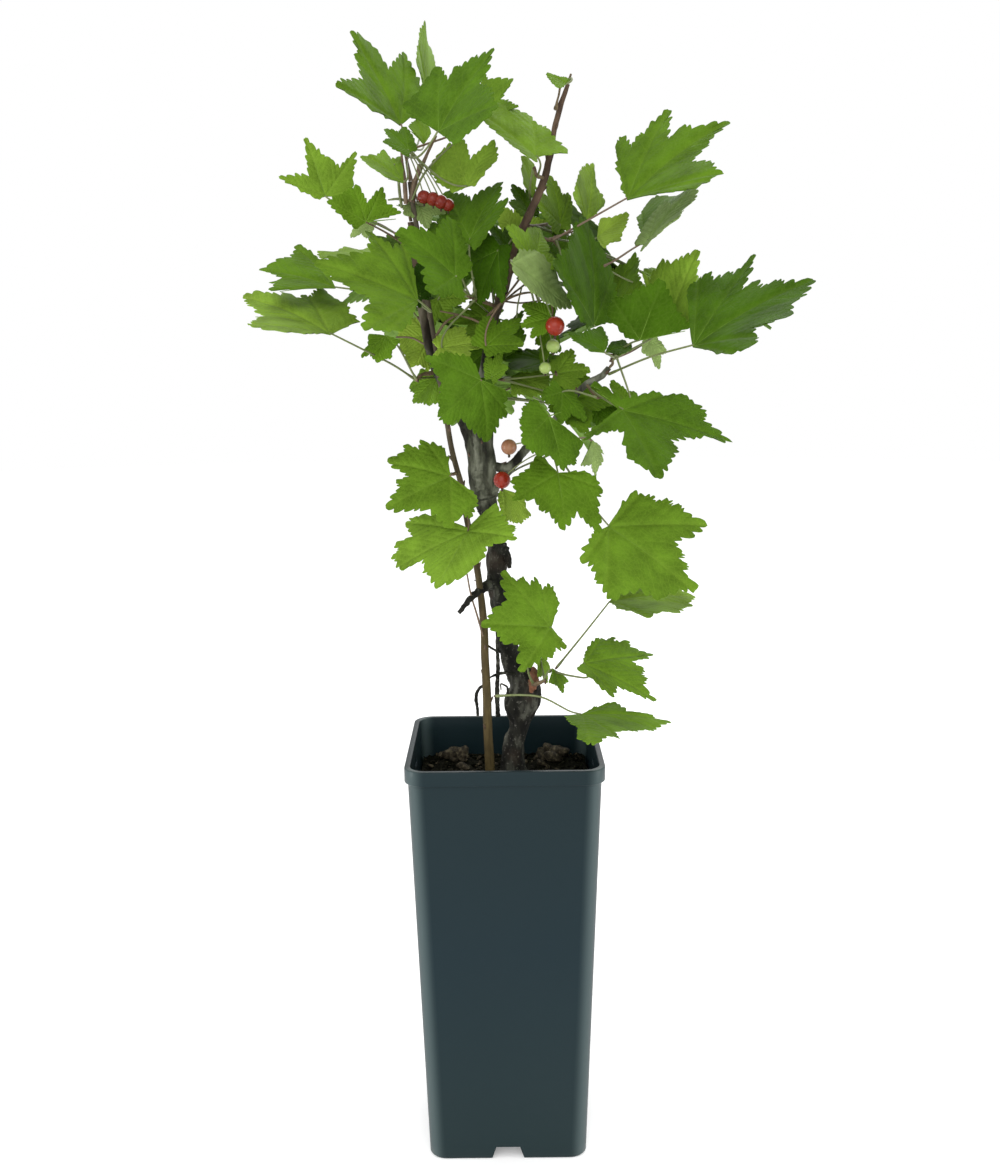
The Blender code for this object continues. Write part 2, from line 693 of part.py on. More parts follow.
def chords(rings):
    """Places along the straight pieces between rings, CHORD_STEP apart."""
    reach = np.r_[0, np.cumsum(np.linalg.norm(np.diff(rings, axis=0), axis=1))]
    at = np.linspace(0, reach[-1], int(reach[-1] / CHORD_STEP) + 2)
    return np.stack([np.interp(at, reach, values) for values in rings.T], 1)


def room_round(path, others, walls, routes):
    """The least room between a stalk's skin and blades, limbs and stalks."""
    gaps = [clearance(path, other).min() - LEAF_THICKNESS / 2 for other in others]
    gaps += [(np.linalg.norm(path[:, None] - wall.probe, axis=2) - wall.thick).min() for wall in walls]
    gaps += [np.linalg.norm(path[:, None] - route, axis=2).min() - radius for route, radius in routes]
    return min(gaps, default=1.0) - STALK_RADII[0]


def stalk_paths(stem, share, blade):
    """Curves by which a stalk can run from near a share of its stem to its blade, gentler bends
    first, none of them with a sharp corner as built."""
    end = blade.origin
    for bend in STALK_BENDS:
        for change in STALK_STARTS:
            start = along_path(stem.axis, float(np.clip(share + change, 0.3, 0.97)))
            span = end - start
            reach = np.linalg.norm(span)
            side = unit(np.cross(span, [0.1, 0.2, 1.0]))
            other = unit(np.cross(span, side))
            ahead = unit(unit(span) + 0.7 * unit(blade.along))
            for turn in np.arange(8) * math.pi / 4 if bend else (0,):
                off = reach * bend * (math.cos(turn) * side + math.sin(turn) * other)
                path = curve(start, start + span / 3 + off, end - ahead * reach / 3 + off, end, 17)
                rings = stalk_rings(path, blade)
                legs = unit(np.diff(rings, axis=0))
                if (legs[1:] * legs[:-1]).sum(1).min() > SHARPEST:
                    yield path, rings


def stalk_of(stem, share, blade, own, others, walls, routes):
    """A leaf stalk: the first path with room all round, or else the roomiest, which counts the room
    to other masses most. Nothing where a path has too little of that."""
    best, best_score = None, -1.0
    for path, rings in stalk_paths(stem, share, blade):
        built = chords(rings)[1:]
        far = min(room_round(built, others, walls, routes), ROOM)
        if far < LEAST_ROOM:
            continue
        score = 3 * far + min(room_round(built, own, (), ()), ROOM)
        if score > best_score:
            best, best_score = SimpleNamespace(path=path, rings=rings, built=built), score
        if score >= 4 * ROOM:
            break
    return best


def far_leaf(dice, box, depths, limbs):
    """A seeded leaf for the far side: it springs back and outwards, with its upper face up."""
    spot = (dice.uniform(box[0], box[2]), dice.uniform(box[1], box[3]))
    origin = place(spot, dice.uniform(*depths) * MM)[0]
    axis = limbs["right_bough"].axis
    away = origin - axis[int(np.abs(axis[:, 2] - origin[2]).argmin())]
    away[2] = 0
    swing = dice.uniform(-0.9, 0.9)
    away = unit(away + np.array([0, 0.03, 0]))
    heading = math.cos(swing) * away + math.sin(swing) * np.array([-away[1], away[0], 0])
    heading = unit(heading + np.array([0, 0, dice.uniform(-0.9, 0.5)]))
    length = dice.uniform(46, 66) * MM
    level = unit(np.cross([0, 0, 1.0], heading))
    roll = dice.uniform(-0.6, 0.6)
    across = math.cos(roll) * level + math.sin(roll) * np.cross(heading, level)
    angles = np.array([-1, -1, 0, 1, 1]) * [BASAL_LOBE[0], SIDE_LOBE[0], 0, SIDE_LOBE[0], BASAL_LOBE[0]]
    reach = np.array([BASAL_LOBE[1], SIDE_LOBE[1], 1, SIDE_LOBE[1], BASAL_LOBE[1]])
    reach = reach * np.r_[dice.uniform(0.88, 1.1, 2), 1, dice.uniform(0.88, 1.1, 2)]
    blade = make_blade(origin, heading * length, across * length, *edge_of(angles, reach))
    blade.pale, blade.far = False, True
    return blade


def inside_outline(points, outline):
    """Which points of the drawing an outline holds: those with an odd number of its sides above."""
    x, y = points[:, :1], points[:, 1:]
    start = np.array(outline, float)
    end = np.roll(start, -1, axis=0)
    spans = (start[:, 0] > x) != (end[:, 0] > x)
    slope = (end[:, 1] - start[:, 1]) / np.where(end[:, 0] == start[:, 0], 1, end[:, 0] - start[:, 0])
    above = start[:, 1] + slope * (x - start[:, 0]) < y
    return (spans & above).sum(1) % 2 == 1


def covered_share(blade, front):
    """The share of a blade's points that show inside the dense part of the crown, or that the drawn
    leaves hide from the eye, allowing a little round their edges."""
    rays = unit(blade.samples - EYE)
    covered = inside_outline(drawn(blade.samples), DENSE)
    for cover in front:
        distance = ((cover.origin - EYE) @ cover.face) / (rays @ cover.face)
        u, v, _ = ((EYE + rays * distance[:, None] - cover.origin) @ cover.inverse).T
        covered |= np.hypot(u, v) < np.interp(np.arctan2(v, u), cover.knots, cover.radii) + 0.04
    return covered.mean()


def berry_stalks(plan, stem):
    """The stalks of a mass's berries: each sags from the stem's tip to its own berry."""
    stalks = []
    for across, down, depth, wide in plan.berries:
        ball = place((across, down), depth * MM)[0]
        start = stem.axis[-2]
        sag = np.array([0, 0, -0.15 * np.linalg.norm(ball - start)])
        path = curve(start, start + (ball - start) / 3 - sag, ball - (ball - start) / 4 + [0, 0, 0.004], ball, 7)
        stalks.append(SimpleNamespace(path=path, ball=ball, radius=wide * MM / 2))
    return stalks


def grow_far_side(blades, owners, solids, limbs):
    """Adds seeded leaves to the masses on the far side, each clear of all the others and where the
    front of the crown hides it."""
    dice = np.random.default_rng(SEED)
    front = list(blades)
    for name, (_, _, box, depths, count) in BACKS.items():
        kept = 0
        for _ in range(FAR_TRIES):
            blade = far_leaf(dice, box, depths, limbs)
            if (
                kept < count
                and abs(blade.samples[:, 1]).max() < DEEPEST
                and min((clearance(solid.probe, blade) - solid.thick).min() for solid in solids) > FAR_APART
                and min(blade_gap(blade, other, FAR_APART) for other in blades) >= FAR_APART
                and covered_share(blade, front) > COVERED
            ):
                blades.append(blade)
                owners.append(name)
                kept += 1


def grow():
    """The whole plant: limbs, and for each mass its stem, its leaves with stalks, and its berries."""
    limbs = {}
    for name in LIMBS:
        limbs[name] = limb(name, limbs)
    plans = dict(MASSES)
    for name, (host, stem, *_) in BACKS.items():
        plans[name] = mass(host, stem, ())
    stems = {name: stem_of(plan, limbs) for name, plan in plans.items()}
    solids = [*limbs.values(), *stems.values()]
    owners = [name for name, plan in MASSES.items() for _ in plan.leaves]
    blades = settle([item for plan in MASSES.values() for item in plan.leaves], solids)
    grow_far_side(blades, owners, solids, limbs)
    foliage, routes = {}, []
    for name, plan in plans.items():
        berries = berry_stalks(plan, stems[name])
        foliage[name] = SimpleNamespace(stem=stems[name], leaves=[], berries=berries)
        for fruit in berries:
            routes += [(name, fruit.path, BERRY_STALK), (name, fruit.ball[None], fruit.radius)]
    for k, (name, blade) in enumerate(zip(owners, blades)):
        rank = owners[:k].count(name) / max(owners.count(name) - 1, 1)
        stalk = stalk_of(
            stems[name],
            0.4 + 0.55 * rank,
            blade,
            [other for j, other in enumerate(blades) if j != k and owners[j] == name],
            [other for j, other in enumerate(blades) if owners[j] != name],
            [solid for solid in solids if solid is not stems[name]],
            [(route, radius) for owner, route, radius in routes if owner != name],
        )
        if stalk:
            routes.append((name, stalk.built, STALK_RADII[0]))
            foliage[name].leaves.append(SimpleNamespace(blade=blade, stalk=stalk))
    return limbs, foliage


# Meshes


def add_object(name, vertices, faces, material=None):
    """A new object from vertices and faces, with one material."""
    mesh = bpy.data.meshes.new(name)
    mesh.from_pydata([tuple(v) for v in vertices], [], [tuple(f) for f in faces])
    mesh.validate()
    thing = bpy.data.objects.new(name, mesh)
    bpy.context.scene.collection.objects.link(thing)
    if material:
        mesh.materials.append(material)
    return thing


def make_material(name, colour, roughness, metallic=0.0):
    """A plain Principled material."""
    material = bpy.data.materials.new(name)
    material.use_nodes = True
    shader = material.node_tree.nodes["Principled BSDF"]
    shader.inputs["Base Color"].default_value = (*colour, 1)
    shader.inputs["Roughness"].default_value = roughness
    shader.inputs["Metallic"].default_value = metallic
    return material


def rings_to_faces(rings, count):
    """Quads between rings of count points each, and a cap at each end."""
    faces = [tuple(range(count))[::-1]]
    for ring in range(rings - 1):
        low, high = ring * count, (ring + 1) * count
        for k in range(count):
            n = (k + 1) % count
            faces.append((low + k, low + n, high + n, high + k))
    faces.append(tuple(range((rings - 1) * count, rings * count)))
    return faces


def tube(axis, radius, sides, first=None):
    """Vertices and faces of a round limb along axis, cut square to first at its foot."""
    axis = np.asarray(axis, float)
    flow = unit(np.gradient(axis, axis=0))
    if first is not None:
        flow[0] = first
    steady = np.eye(3)[np.abs(flow).mean(0).argmin()]
    side = unit(steady - (flow @ steady)[:, None] * flow)
    other = np.cross(flow, side)
    angle = np.arange(sides) * 2 * math.pi / sides
    rings = axis[:, None] + np.reshape(radius, (-1, 1, 1)) * (
        np.cos(angle)[None, :, None] * side[:, None] + np.sin(angle)[None, :, None] * other[:, None]
    )
    return rings.reshape(-1, 3), rings_to_faces(len(axis), sides)


def blade_solid(blade):
    """Vertices and faces of a blade as a thin plate: fans from the hub over and under it, and a
    rim between them."""
    corners = FAR_CORNERS if blade.far else RIM_CORNERS
    angle, rim = blade.knots[corners], blade.radii[corners]
    u = np.r_[0.1, rim * np.cos(angle)]
    v = np.r_[0.0, rim * np.sin(angle)]
    top = on_blade(blade, u, v, LEAF_THICKNESS / 2)
    bottom = on_blade(blade, u, v, -LEAF_THICKNESS / 2)
    count = len(angle)
    faces = []
    for k in range(count):
        n = (k + 1) % count
        a, b = 1 + k, 1 + n
        faces.append((0, a, b))
        faces.append((count + 1, count + 1 + b, count + 1 + a))
        faces.append((a, count + 1 + a, count + 1 + b, b))
    return np.vstack([top, bottom]), faces


def ball(centre, radius):
    """Vertices and faces of a berry: rings of points between two poles."""
    rings, sides = 4, 7
    lift = np.linspace(-math.pi / 2, math.pi / 2, rings + 2)[1:-1]
    angle = np.arange(sides) * 2 * math.pi / sides
    body = np.stack(
        [
            np.cos(lift)[:, None] * np.cos(angle),
            np.cos(lift)[:, None] * np.sin(angle),
            np.repeat(np.sin(lift)[:, None], sides, 1),
        ],
        -1,
    ).reshape(-1, 3)
    vertices = centre + radius * np.vstack([body, [[0, 0, -1], [0, 0, 1]]])
    faces = rings_to_faces(rings, sides)[1:-1]
    low, high = rings * sides, rings * sides + 1
    for k in range(sides):
        n = (k + 1) % sides
        faces.append((n, k, low))
        faces.append(((rings - 1) * sides + k, (rings - 1) * sides + n, high))
    return vertices, faces


def shells_of(work):
    """A mesh's shells, each a list of faces that share edges."""
    left = set(work.faces)
    shells = []
    while left:
        shell, edge = [], [left.pop()]
        while edge:
            face = edge.pop()
            shell.append(face)
            for link in face.edges:
                for other in link.link_faces:
                    if other in left:
                        left.discard(other)
                        edge.append(other)
        shells.append(shell)
    return shells


def ear_quality(before, corner, after, ring, normal):
    """How good a triangle a face's corner would give, from 0 for a sliver to 1, or -1 where the
    corner turns inwards or another corner of the ring lies in the triangle."""
    first, second = corner.co - before.co, after.co - corner.co
    area = first.cross(second).dot(normal)
    if area <= 0:
        return -1
    for other in ring:
        if other not in (before, corner, after):
            sides = (
                (end.co - start.co).cross(other.co - start.co).dot(normal)
                for start, end in ((before, corner), (corner, after), (after, before))
            )
            if min(sides) >= 0:
                return -1
    return area / max(first.length, second.length, (after.co - before.co).length) ** 2


def cut_into_triangles(work):
    """Cuts every face into triangles, ear by ear, with no diagonal that is an edge elsewhere."""
    work.verts.index_update()
    work.normal_update()
    joined = {frozenset(vertex.index for vertex in edge.verts) for edge in work.edges}
    for face in [face for face in work.faces if len(face.verts) > 3]:
        ring, normal, ears = list(face.verts), face.normal.copy(), []
        while len(ring) > 3:
            best = (-9, 0)
            for k, corner in enumerate(ring):
                before, after = ring[k - 1], ring[(k + 1) % len(ring)]
                quality = ear_quality(before, corner, after, ring, normal)
                if frozenset((before.index, after.index)) in joined:
                    quality -= 4
                best = max(best, (quality, k))
            k = best[1]
            before, after = ring[k - 1], ring[(k + 1) % len(ring)]
            ears.append((before, ring[k], after))
            joined.add(frozenset((before.index, after.index)))
            ring.pop(k)
        bmesh.ops.delete(work, geom=[face], context="FACES_ONLY")
        for ear in [*ears, tuple(ring)]:
            if work.faces.get(ear) is None:
                work.faces.new(ear)


def is_sound(thing):
    """Whether a mesh is one closed shell that faces outwards, once its touching corners merge."""
    work = bmesh.new()
    work.from_mesh(thing.data)
    bmesh.ops.remove_doubles(work, verts=work.verts, dist=TOUCHING)
    closed = all(edge.is_manifold and edge.is_contiguous for edge in work.edges)
    whole = closed and min(edge.calc_length() for edge in work.edges) > SHORTEST_EDGE
    sound = whole and len(shells_of(work)) == 1 and work.calc_volume(signed=True) > 0
    work.free()
    return sound


def union_of(name, shapes, material, solver):
    """The Boolean union of overlapping shapes, made with one collection."""
    body = add_object(name, *shapes[0], material)
    fix_normals(body)
    group = bpy.data.collections.new(name + "_parts")
    bpy.context.scene.collection.children.link(group)
    for k, shape in enumerate(shapes[1:]):
        extra = add_object(f"{name}_part_{k}", *shape, material)
        fix_normals(extra)
        bpy.context.scene.collection.objects.unlink(extra)
        group.objects.link(extra)
    union = body.modifiers.new("join", "BOOLEAN")
    union.operation = "UNION"
    union.operand_type = "COLLECTION"
    union.collection = group
    union.solver = solver
    apply_modifiers(body)
    for extra in list(group.objects):
        bpy.data.objects.remove(extra)
    bpy.data.collections.remove(group)
    keep_main_shell(body)
    return body


def join_solids(name, make_shapes, material):
    """One closed body from overlapping shapes. make_shapes gives them for a thickness of twigs. A
    union that leaves an edge open is made again by the other solver, with twigs a little thicker,
    and one that keeps failing gets fewer leaves."""
    for left_out in range(MOST_LEFT_OUT):
        for attempt in range(UNION_TRIES):
            shapes = make_shapes(1 + THICKEN * attempt)
            shapes = shapes[: len(shapes) - 2 * left_out]
            body = union_of(name, shapes, material, ("EXACT", "MANIFOLD")[attempt % 2])
            if is_sound(body):
                return
            bpy.data.objects.remove(body)


def apply_modifiers(thing):
    """Replaces an object's mesh with the one that its modifiers make."""
    bpy.context.view_layer.update()
    shaped = thing.evaluated_get(bpy.context.evaluated_depsgraph_get())
    mesh = bpy.data.meshes.new_from_object(shaped)
    thing.modifiers.clear()
    thing.data = mesh


def keep_main_shell(thing):
    """Keeps an object's largest shell, so that sealed hollows are filled and scraps dropped."""
    work = bmesh.new()
    work.from_mesh(thing.data)
    bmesh.ops.remove_doubles(work, verts=work.verts, dist=TOUCHING)
    shells = shells_of(work)
    main = max(shells, key=len)
    scraps = [face for shell in shells if shell is not main for face in shell]
    bmesh.ops.delete(work, geom=scraps, context="FACES")
    cut_into_triangles(work)
    work.to_mesh(thing.data)
    work.free()


def rounded_square(half, corner, height):
    """A ring of points round a square of that half width with round corners."""
    corner = min(corner, half)
    turn = np.linspace(0, math.pi / 2, CORNER_STEPS)
    ring = []
    for quarter in range(4):
        angle = turn + quarter * math.pi / 2
        middle = (half - corner) * np.sign([math.cos(quarter * math.pi / 2 + 0.7), math.sin(quarter * math.pi / 2 + 0.7)])
        ring.append(np.c_[middle[0] + corner * np.cos(angle), middle[1] + corner * np.sin(angle)])
    ring = np.vstack(ring)
    return np.c_[ring, np.full(len(ring), height)]


def half_width(height):
    """The pot's outer half width at a height, below its collar."""
    share = height / POT_HEIGHT
    return (FOOT_WIDTH + (POT_WIDTH - 2 * COLLAR_STEP - FOOT_WIDTH) * share) / 2


def loft(name, rings, material):
    """A closed body through rings of equally many points, capped at both ends."""
    return add_object(name, np.vstack(rings), rings_to_faces(len(rings), len(rings[0])), material)


def cutter(name, vertices, faces):
    """A hidden solid that a Boolean takes away."""
    thing = add_object(name, vertices, faces)
    thing.hide_render = True
    thing.display_type = "WIRE"
    return thing


def prism(section, start, end, along):
    """A solid between two places along an axis, with a section in the other axis and Z."""
    across = 1 - along
    points = np.zeros((2 * len(section), 3))
    points[:, across] = np.tile(section[:, 0], 2)
    points[:, 2] = np.tile(section[:, 1], 2)
    points[: len(section), along], points[len(section) :, along] = start, end
    faces = rings_to_faces(2, len(section))
    return points, faces


def make_pot(material):
    """The pot: a thin tapered shell with a collar, a raised floor and a foot with four notches."""
    half, top = POT_WIDTH / 2, POT_HEIGHT
    lip = 0.6 * MM
    foot = FOOT_WIDTH / 2
    rings = [
        rounded_square(foot - FOOT_WALL - 0.3 * MM, CORNER - FOOT_WALL, FLOOR_HEIGHT),
        rounded_square(foot - FOOT_WALL, CORNER - FOOT_WALL, 0),
        rounded_square(foot - FOOT_ROUND, CORNER - FOOT_ROUND, 0),
        rounded_square(half_width(FOOT_ROUND), CORNER, FOOT_ROUND),
        rounded_square(half_width(top / 2), CORNER, top / 2),
        rounded_square(half_width(top - COLLAR_HEIGHT), CORNER, top - COLLAR_HEIGHT),
        rounded_square(half - lip, CORNER + COLLAR_STEP, top - COLLAR_HEIGHT),
        rounded_square(half, CORNER + COLLAR_STEP, top - COLLAR_HEIGHT + lip),
        rounded_square(half, CORNER + COLLAR_STEP, top - lip),
        rounded_square(half - lip, CORNER + COLLAR_STEP, top),
        rounded_square(half - WALL - COLLAR_STEP + lip, CORNER, top),
        rounded_square(half - WALL - COLLAR_STEP, CORNER, top - lip),
        rounded_square(half_width(top - COLLAR_HEIGHT) - WALL, CORNER - WALL, top - COLLAR_HEIGHT),
        rounded_square(half_width(FLOOR_HEIGHT + FLOOR_WALL) - WALL, CORNER - WALL, FLOOR_HEIGHT + FLOOR_WALL),
    ]
    pot = loft("pot", rings, material)
    notch = np.array(
        [
            (-NOTCH_WIDTH / 2, -MM),
            (NOTCH_WIDTH / 2, -MM),
            (NOTCH_TOP_WIDTH / 2, NOTCH_HEIGHT),
            (-NOTCH_TOP_WIDTH / 2, NOTCH_HEIGHT),
        ]
    )
    level = POT_HEIGHT - SLOT_DROP
    slot = np.array(
        [
            (-SLOT_LENGTH / 2, level - SLOT_HEIGHT / 2),
            (SLOT_LENGTH / 2, level - SLOT_HEIGHT / 2),
            (SLOT_LENGTH / 2, level + SLOT_HEIGHT / 2),
            (-SLOT_LENGTH / 2, level + SLOT_HEIGHT / 2),
        ]
    )
    cuts = [cutter(f"notch_{axis}", *prism(notch, -POT_WIDTH, POT_WIDTH, axis)) for axis in (0, 1)]
    cuts.append(cutter("slot", *prism(slot, -POT_WIDTH, POT_WIDTH, 0)))
    for k, cut in enumerate(cuts):
        fix_normals(cut)
        take = pot.modifiers.new(f"cut_{k}", "BOOLEAN")
        take.operation = "DIFFERENCE"
        take.object = cut
        take.solver = "EXACT"
    fix_normals(pot)
    apply_modifiers(pot)
    for cut in cuts:
        bpy.data.objects.remove(cut)
    return pot


def fix_normals(thing):
    """Turns a closed body's faces outwards."""
    work = bmesh.new()
    work.from_mesh(thing.data)
    bmesh.ops.recalc_face_normals(work, faces=work.faces)
    work.to_mesh(thing.data)
    work.free()


def soil_height(x, y):
    """The compost's surface: level where the stems stand, with a few mounds of bark."""
    height = np.full(np.shape(x), SOIL_TOP)
    for mound in MOUNDS:
        away = np.hypot(x - mound["at"][0], y - mound["at"][1]) / mound["wide"]
        height = height + mound["high"] * np.clip(1 - away**2, 0, None) ** 1.5
    return height


def make_soil(material):
    """The compost: a block that fills the pot GAP clear of its wall, with a rough top."""
    low = FLOOR_HEIGHT + FLOOR_WALL + GAP
    spare = WALL + 1.5 * GAP
    rings = [rounded_square(half_width(low) - spare, CORNER - spare, low)]
    for share in SOIL_RINGS:
        ring = rounded_square(half_width(SOIL_TOP) - spare, CORNER - spare, SOIL_TOP)
        ring[:, :2] *= share
        if LEVEL_SHARE < share < 1:
            ring[:, 2] = soil_height(ring[:, 0], ring[:, 1])
        rings.append(ring)
    soil = loft("compost", rings, material)
    fix_normals(soil)
    return soil


def limb_shapes(item, width):
    """A limb as a tapering tube, and on the trunk its dead snags."""
    shapes = [tube(item.axis, item.radius, LIMB_SIDES[item.name], item.first)]
    if item.name == "trunk":
        for snag in SNAGS:
            stations = np.array(snag, float)
            axis = place(stations[:, :2], stations[:, 2] * MM)
            shapes.append(tube(axis, width * stations[:, 3] * MM / 2, 5))
    return shapes


def mass_shapes(item, width):
    """The stem, stalks, blades and berries of a mass, each a closed shape."""
    stem = item.stem
    shapes = [tube(stem.axis[STEM_RINGS], width * stem.radius[STEM_RINGS], 4, stem.first)]
    for fruit in item.berries:
        shapes.append(tube(fruit.path[::2], np.full(4, width * BERRY_STALK), 3))
        shapes.append(ball(fruit.ball, fruit.radius))
    for grown in item.leaves:
        rings = grown.stalk.rings
        radius = np.r_[np.linspace(*STALK_RADII, len(rings) - 1), STALK_END]
        shapes.append(tube(rings, width * radius, 3))
        shapes.append(blade_solid(grown.blade))
    return shapes


def centre_on_origin():
    """Moves everything so that its box stands on the ground, centred on the origin."""
    things = [thing for thing in bpy.data.objects if thing.type == "MESH"]
    corners = np.array([v.co for thing in things for v in thing.data.vertices])
    shift = -(corners.max(0) + corners.min(0)) / 2
    for thing in things:
        for vertex in thing.data.vertices:
            vertex.co += Vector((shift[0], shift[1], 0))


def main():
    for old in list(bpy.data.objects):
        bpy.data.objects.remove(old)
    materials = {
        "pot": make_material("pot_plastic", (0.032, 0.045, 0.055), 0.42),
        "compost": make_material("compost_bark", (0.03, 0.02, 0.013), 0.95),
        "bark": make_material("old_bark", (0.05, 0.042, 0.036), 0.85),
        "shoot": make_material("shoot_bark", (0.19, 0.12, 0.055), 0.7),
        "leaf": make_material("leaf_green", (0.12, 0.25, 0.03), 0.55),
    }
    limbs, foliage = grow()
    make_pot(materials["pot"])
    make_soil(materials["compost"])
    for name, item in limbs.items():
        kind = "shoot" if name == "young_shoot" else "bark"
        join_solids(name, lambda width, item=item: limb_shapes(item, width), materials[kind])
    for name, item in foliage.items():
        join_solids(name, lambda width, item=item: mass_shapes(item, width), materials["leaf"])
    centre_on_origin()


main()
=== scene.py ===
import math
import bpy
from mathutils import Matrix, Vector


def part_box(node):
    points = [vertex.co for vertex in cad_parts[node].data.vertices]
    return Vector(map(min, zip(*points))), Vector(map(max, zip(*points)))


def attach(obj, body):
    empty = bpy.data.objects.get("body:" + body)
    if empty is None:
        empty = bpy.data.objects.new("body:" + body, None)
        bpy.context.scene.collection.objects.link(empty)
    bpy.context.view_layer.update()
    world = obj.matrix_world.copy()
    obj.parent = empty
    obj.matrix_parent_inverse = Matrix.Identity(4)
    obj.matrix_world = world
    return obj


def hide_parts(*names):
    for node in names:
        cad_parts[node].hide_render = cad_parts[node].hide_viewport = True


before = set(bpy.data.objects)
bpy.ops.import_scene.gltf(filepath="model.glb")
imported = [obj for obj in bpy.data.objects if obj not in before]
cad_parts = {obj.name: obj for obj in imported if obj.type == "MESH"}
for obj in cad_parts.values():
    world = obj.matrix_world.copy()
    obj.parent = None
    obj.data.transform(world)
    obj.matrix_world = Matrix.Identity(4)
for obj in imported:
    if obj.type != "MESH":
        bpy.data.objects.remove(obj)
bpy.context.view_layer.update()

# A young red currant bush in a tall square pot. The plant grows here by the rule of its solids:
# the same drawing, the same seeded twigs, stalks and far-side leaves. Each blade is then a toothed,
# folded and veined surface, each limb has its bark, and the pot and compost get their finish.
from types import SimpleNamespace

import bpy
import numpy as np
from mathutils import Matrix

MM = 0.001
GAP = 0.3 * MM

# Pot and compost
POT_WIDTH = 0.105
POT_HEIGHT = 0.230
FOOT_WIDTH = 0.0868
WALL = 1.6 * MM
COLLAR_HEIGHT = 8 * MM
COLLAR_STEP = 1.5 * MM
CORNER = 9 * MM
FLOOR_HEIGHT = 8.5 * MM
FLOOR_WALL = 1.8 * MM
FOOT_WALL = 2.6 * MM
FOOT_ROUND = 1.2 * MM
NOTCH_WIDTH = 18 * MM
NOTCH_TOP_WIDTH = 13 * MM
NOTCH_HEIGHT = 7.5 * MM
SLOT_LENGTH = 12 * MM
SLOT_HEIGHT = 2.2 * MM
SLOT_DROP = 12 * MM
SOIL_DROP = 22 * MM
SOIL_TOP = POT_HEIGHT - SOIL_DROP
MOUNDS = (
    dict(at=(-14 * MM, -35 * MM), wide=15 * MM, high=10 * MM),
    dict(at=(21 * MM, -34 * MM), wide=16 * MM, high=11 * MM),
    dict(at=(-28 * MM, 30 * MM), wide=14 * MM, high=6 * MM),
    dict(at=(30 * MM, 30 * MM), wide=14 * MM, high=7 * MM),
)

# The front drawing: the eye that sees it, and its middle and its reach in its own units
EYE = np.array([-1.5 * MM, -684.5 * MM, 442.8 * MM])
LOOKS_DOWN = math.radians(10.14)
LEANS = math.radians(-0.57)
FOCAL = 1260.0
MIDDLE = np.array([500.0, 584.0])
PICTURE_HIGH = 1168
PICTURE_WIDE = 1000
SENSOR = 36.0

# Leaves, as shares of a leaf's length from its stalk to its tip
SIDE_LOBE = (math.radians(57), 0.85)
BASAL_LOBE = (math.radians(112), 0.52)
UPPER_SINUS = 0.62
LOWER_SINUS = 0.70
NOTCH = 0.09
BULGE = 0.13
FOLDED_AWAY = 0.14
FOLD = 0.16
DROOP = 0.14
LONGEST_LEAF = 78 * MM
LEAF_THICKNESS = 0.9 * MM

# Twigs and leaf stalks
STEM_RADII = (1.7 * MM, 1.1 * MM)
STEM_STRAIGHT = 2.5 * MM
STALK_RADII = (0.85 * MM, 0.70 * MM)
STALK_SUNK = 0.13
STALK_STARTS = (0.0, 0.2, -0.2)
STALK_BENDS = (0.0, 0.12, 0.22, 0.34, 0.46)
TURNED_BACK = -0.2
SHARPEST = -0.1
BERRY_STALK = 0.6 * MM
APART = 2.4 * MM
FAR_APART = 3.0 * MM
CHORD_STEP = 1.2 * MM
ROOM = 0.7 * MM
LEAST_ROOM = 0.25 * MM
SETTLE_PASSES = 90
SETTLE_STEP = 1.3 * MM
DEEPEST = 0.150
SEED = 31
FAR_TRIES = 400


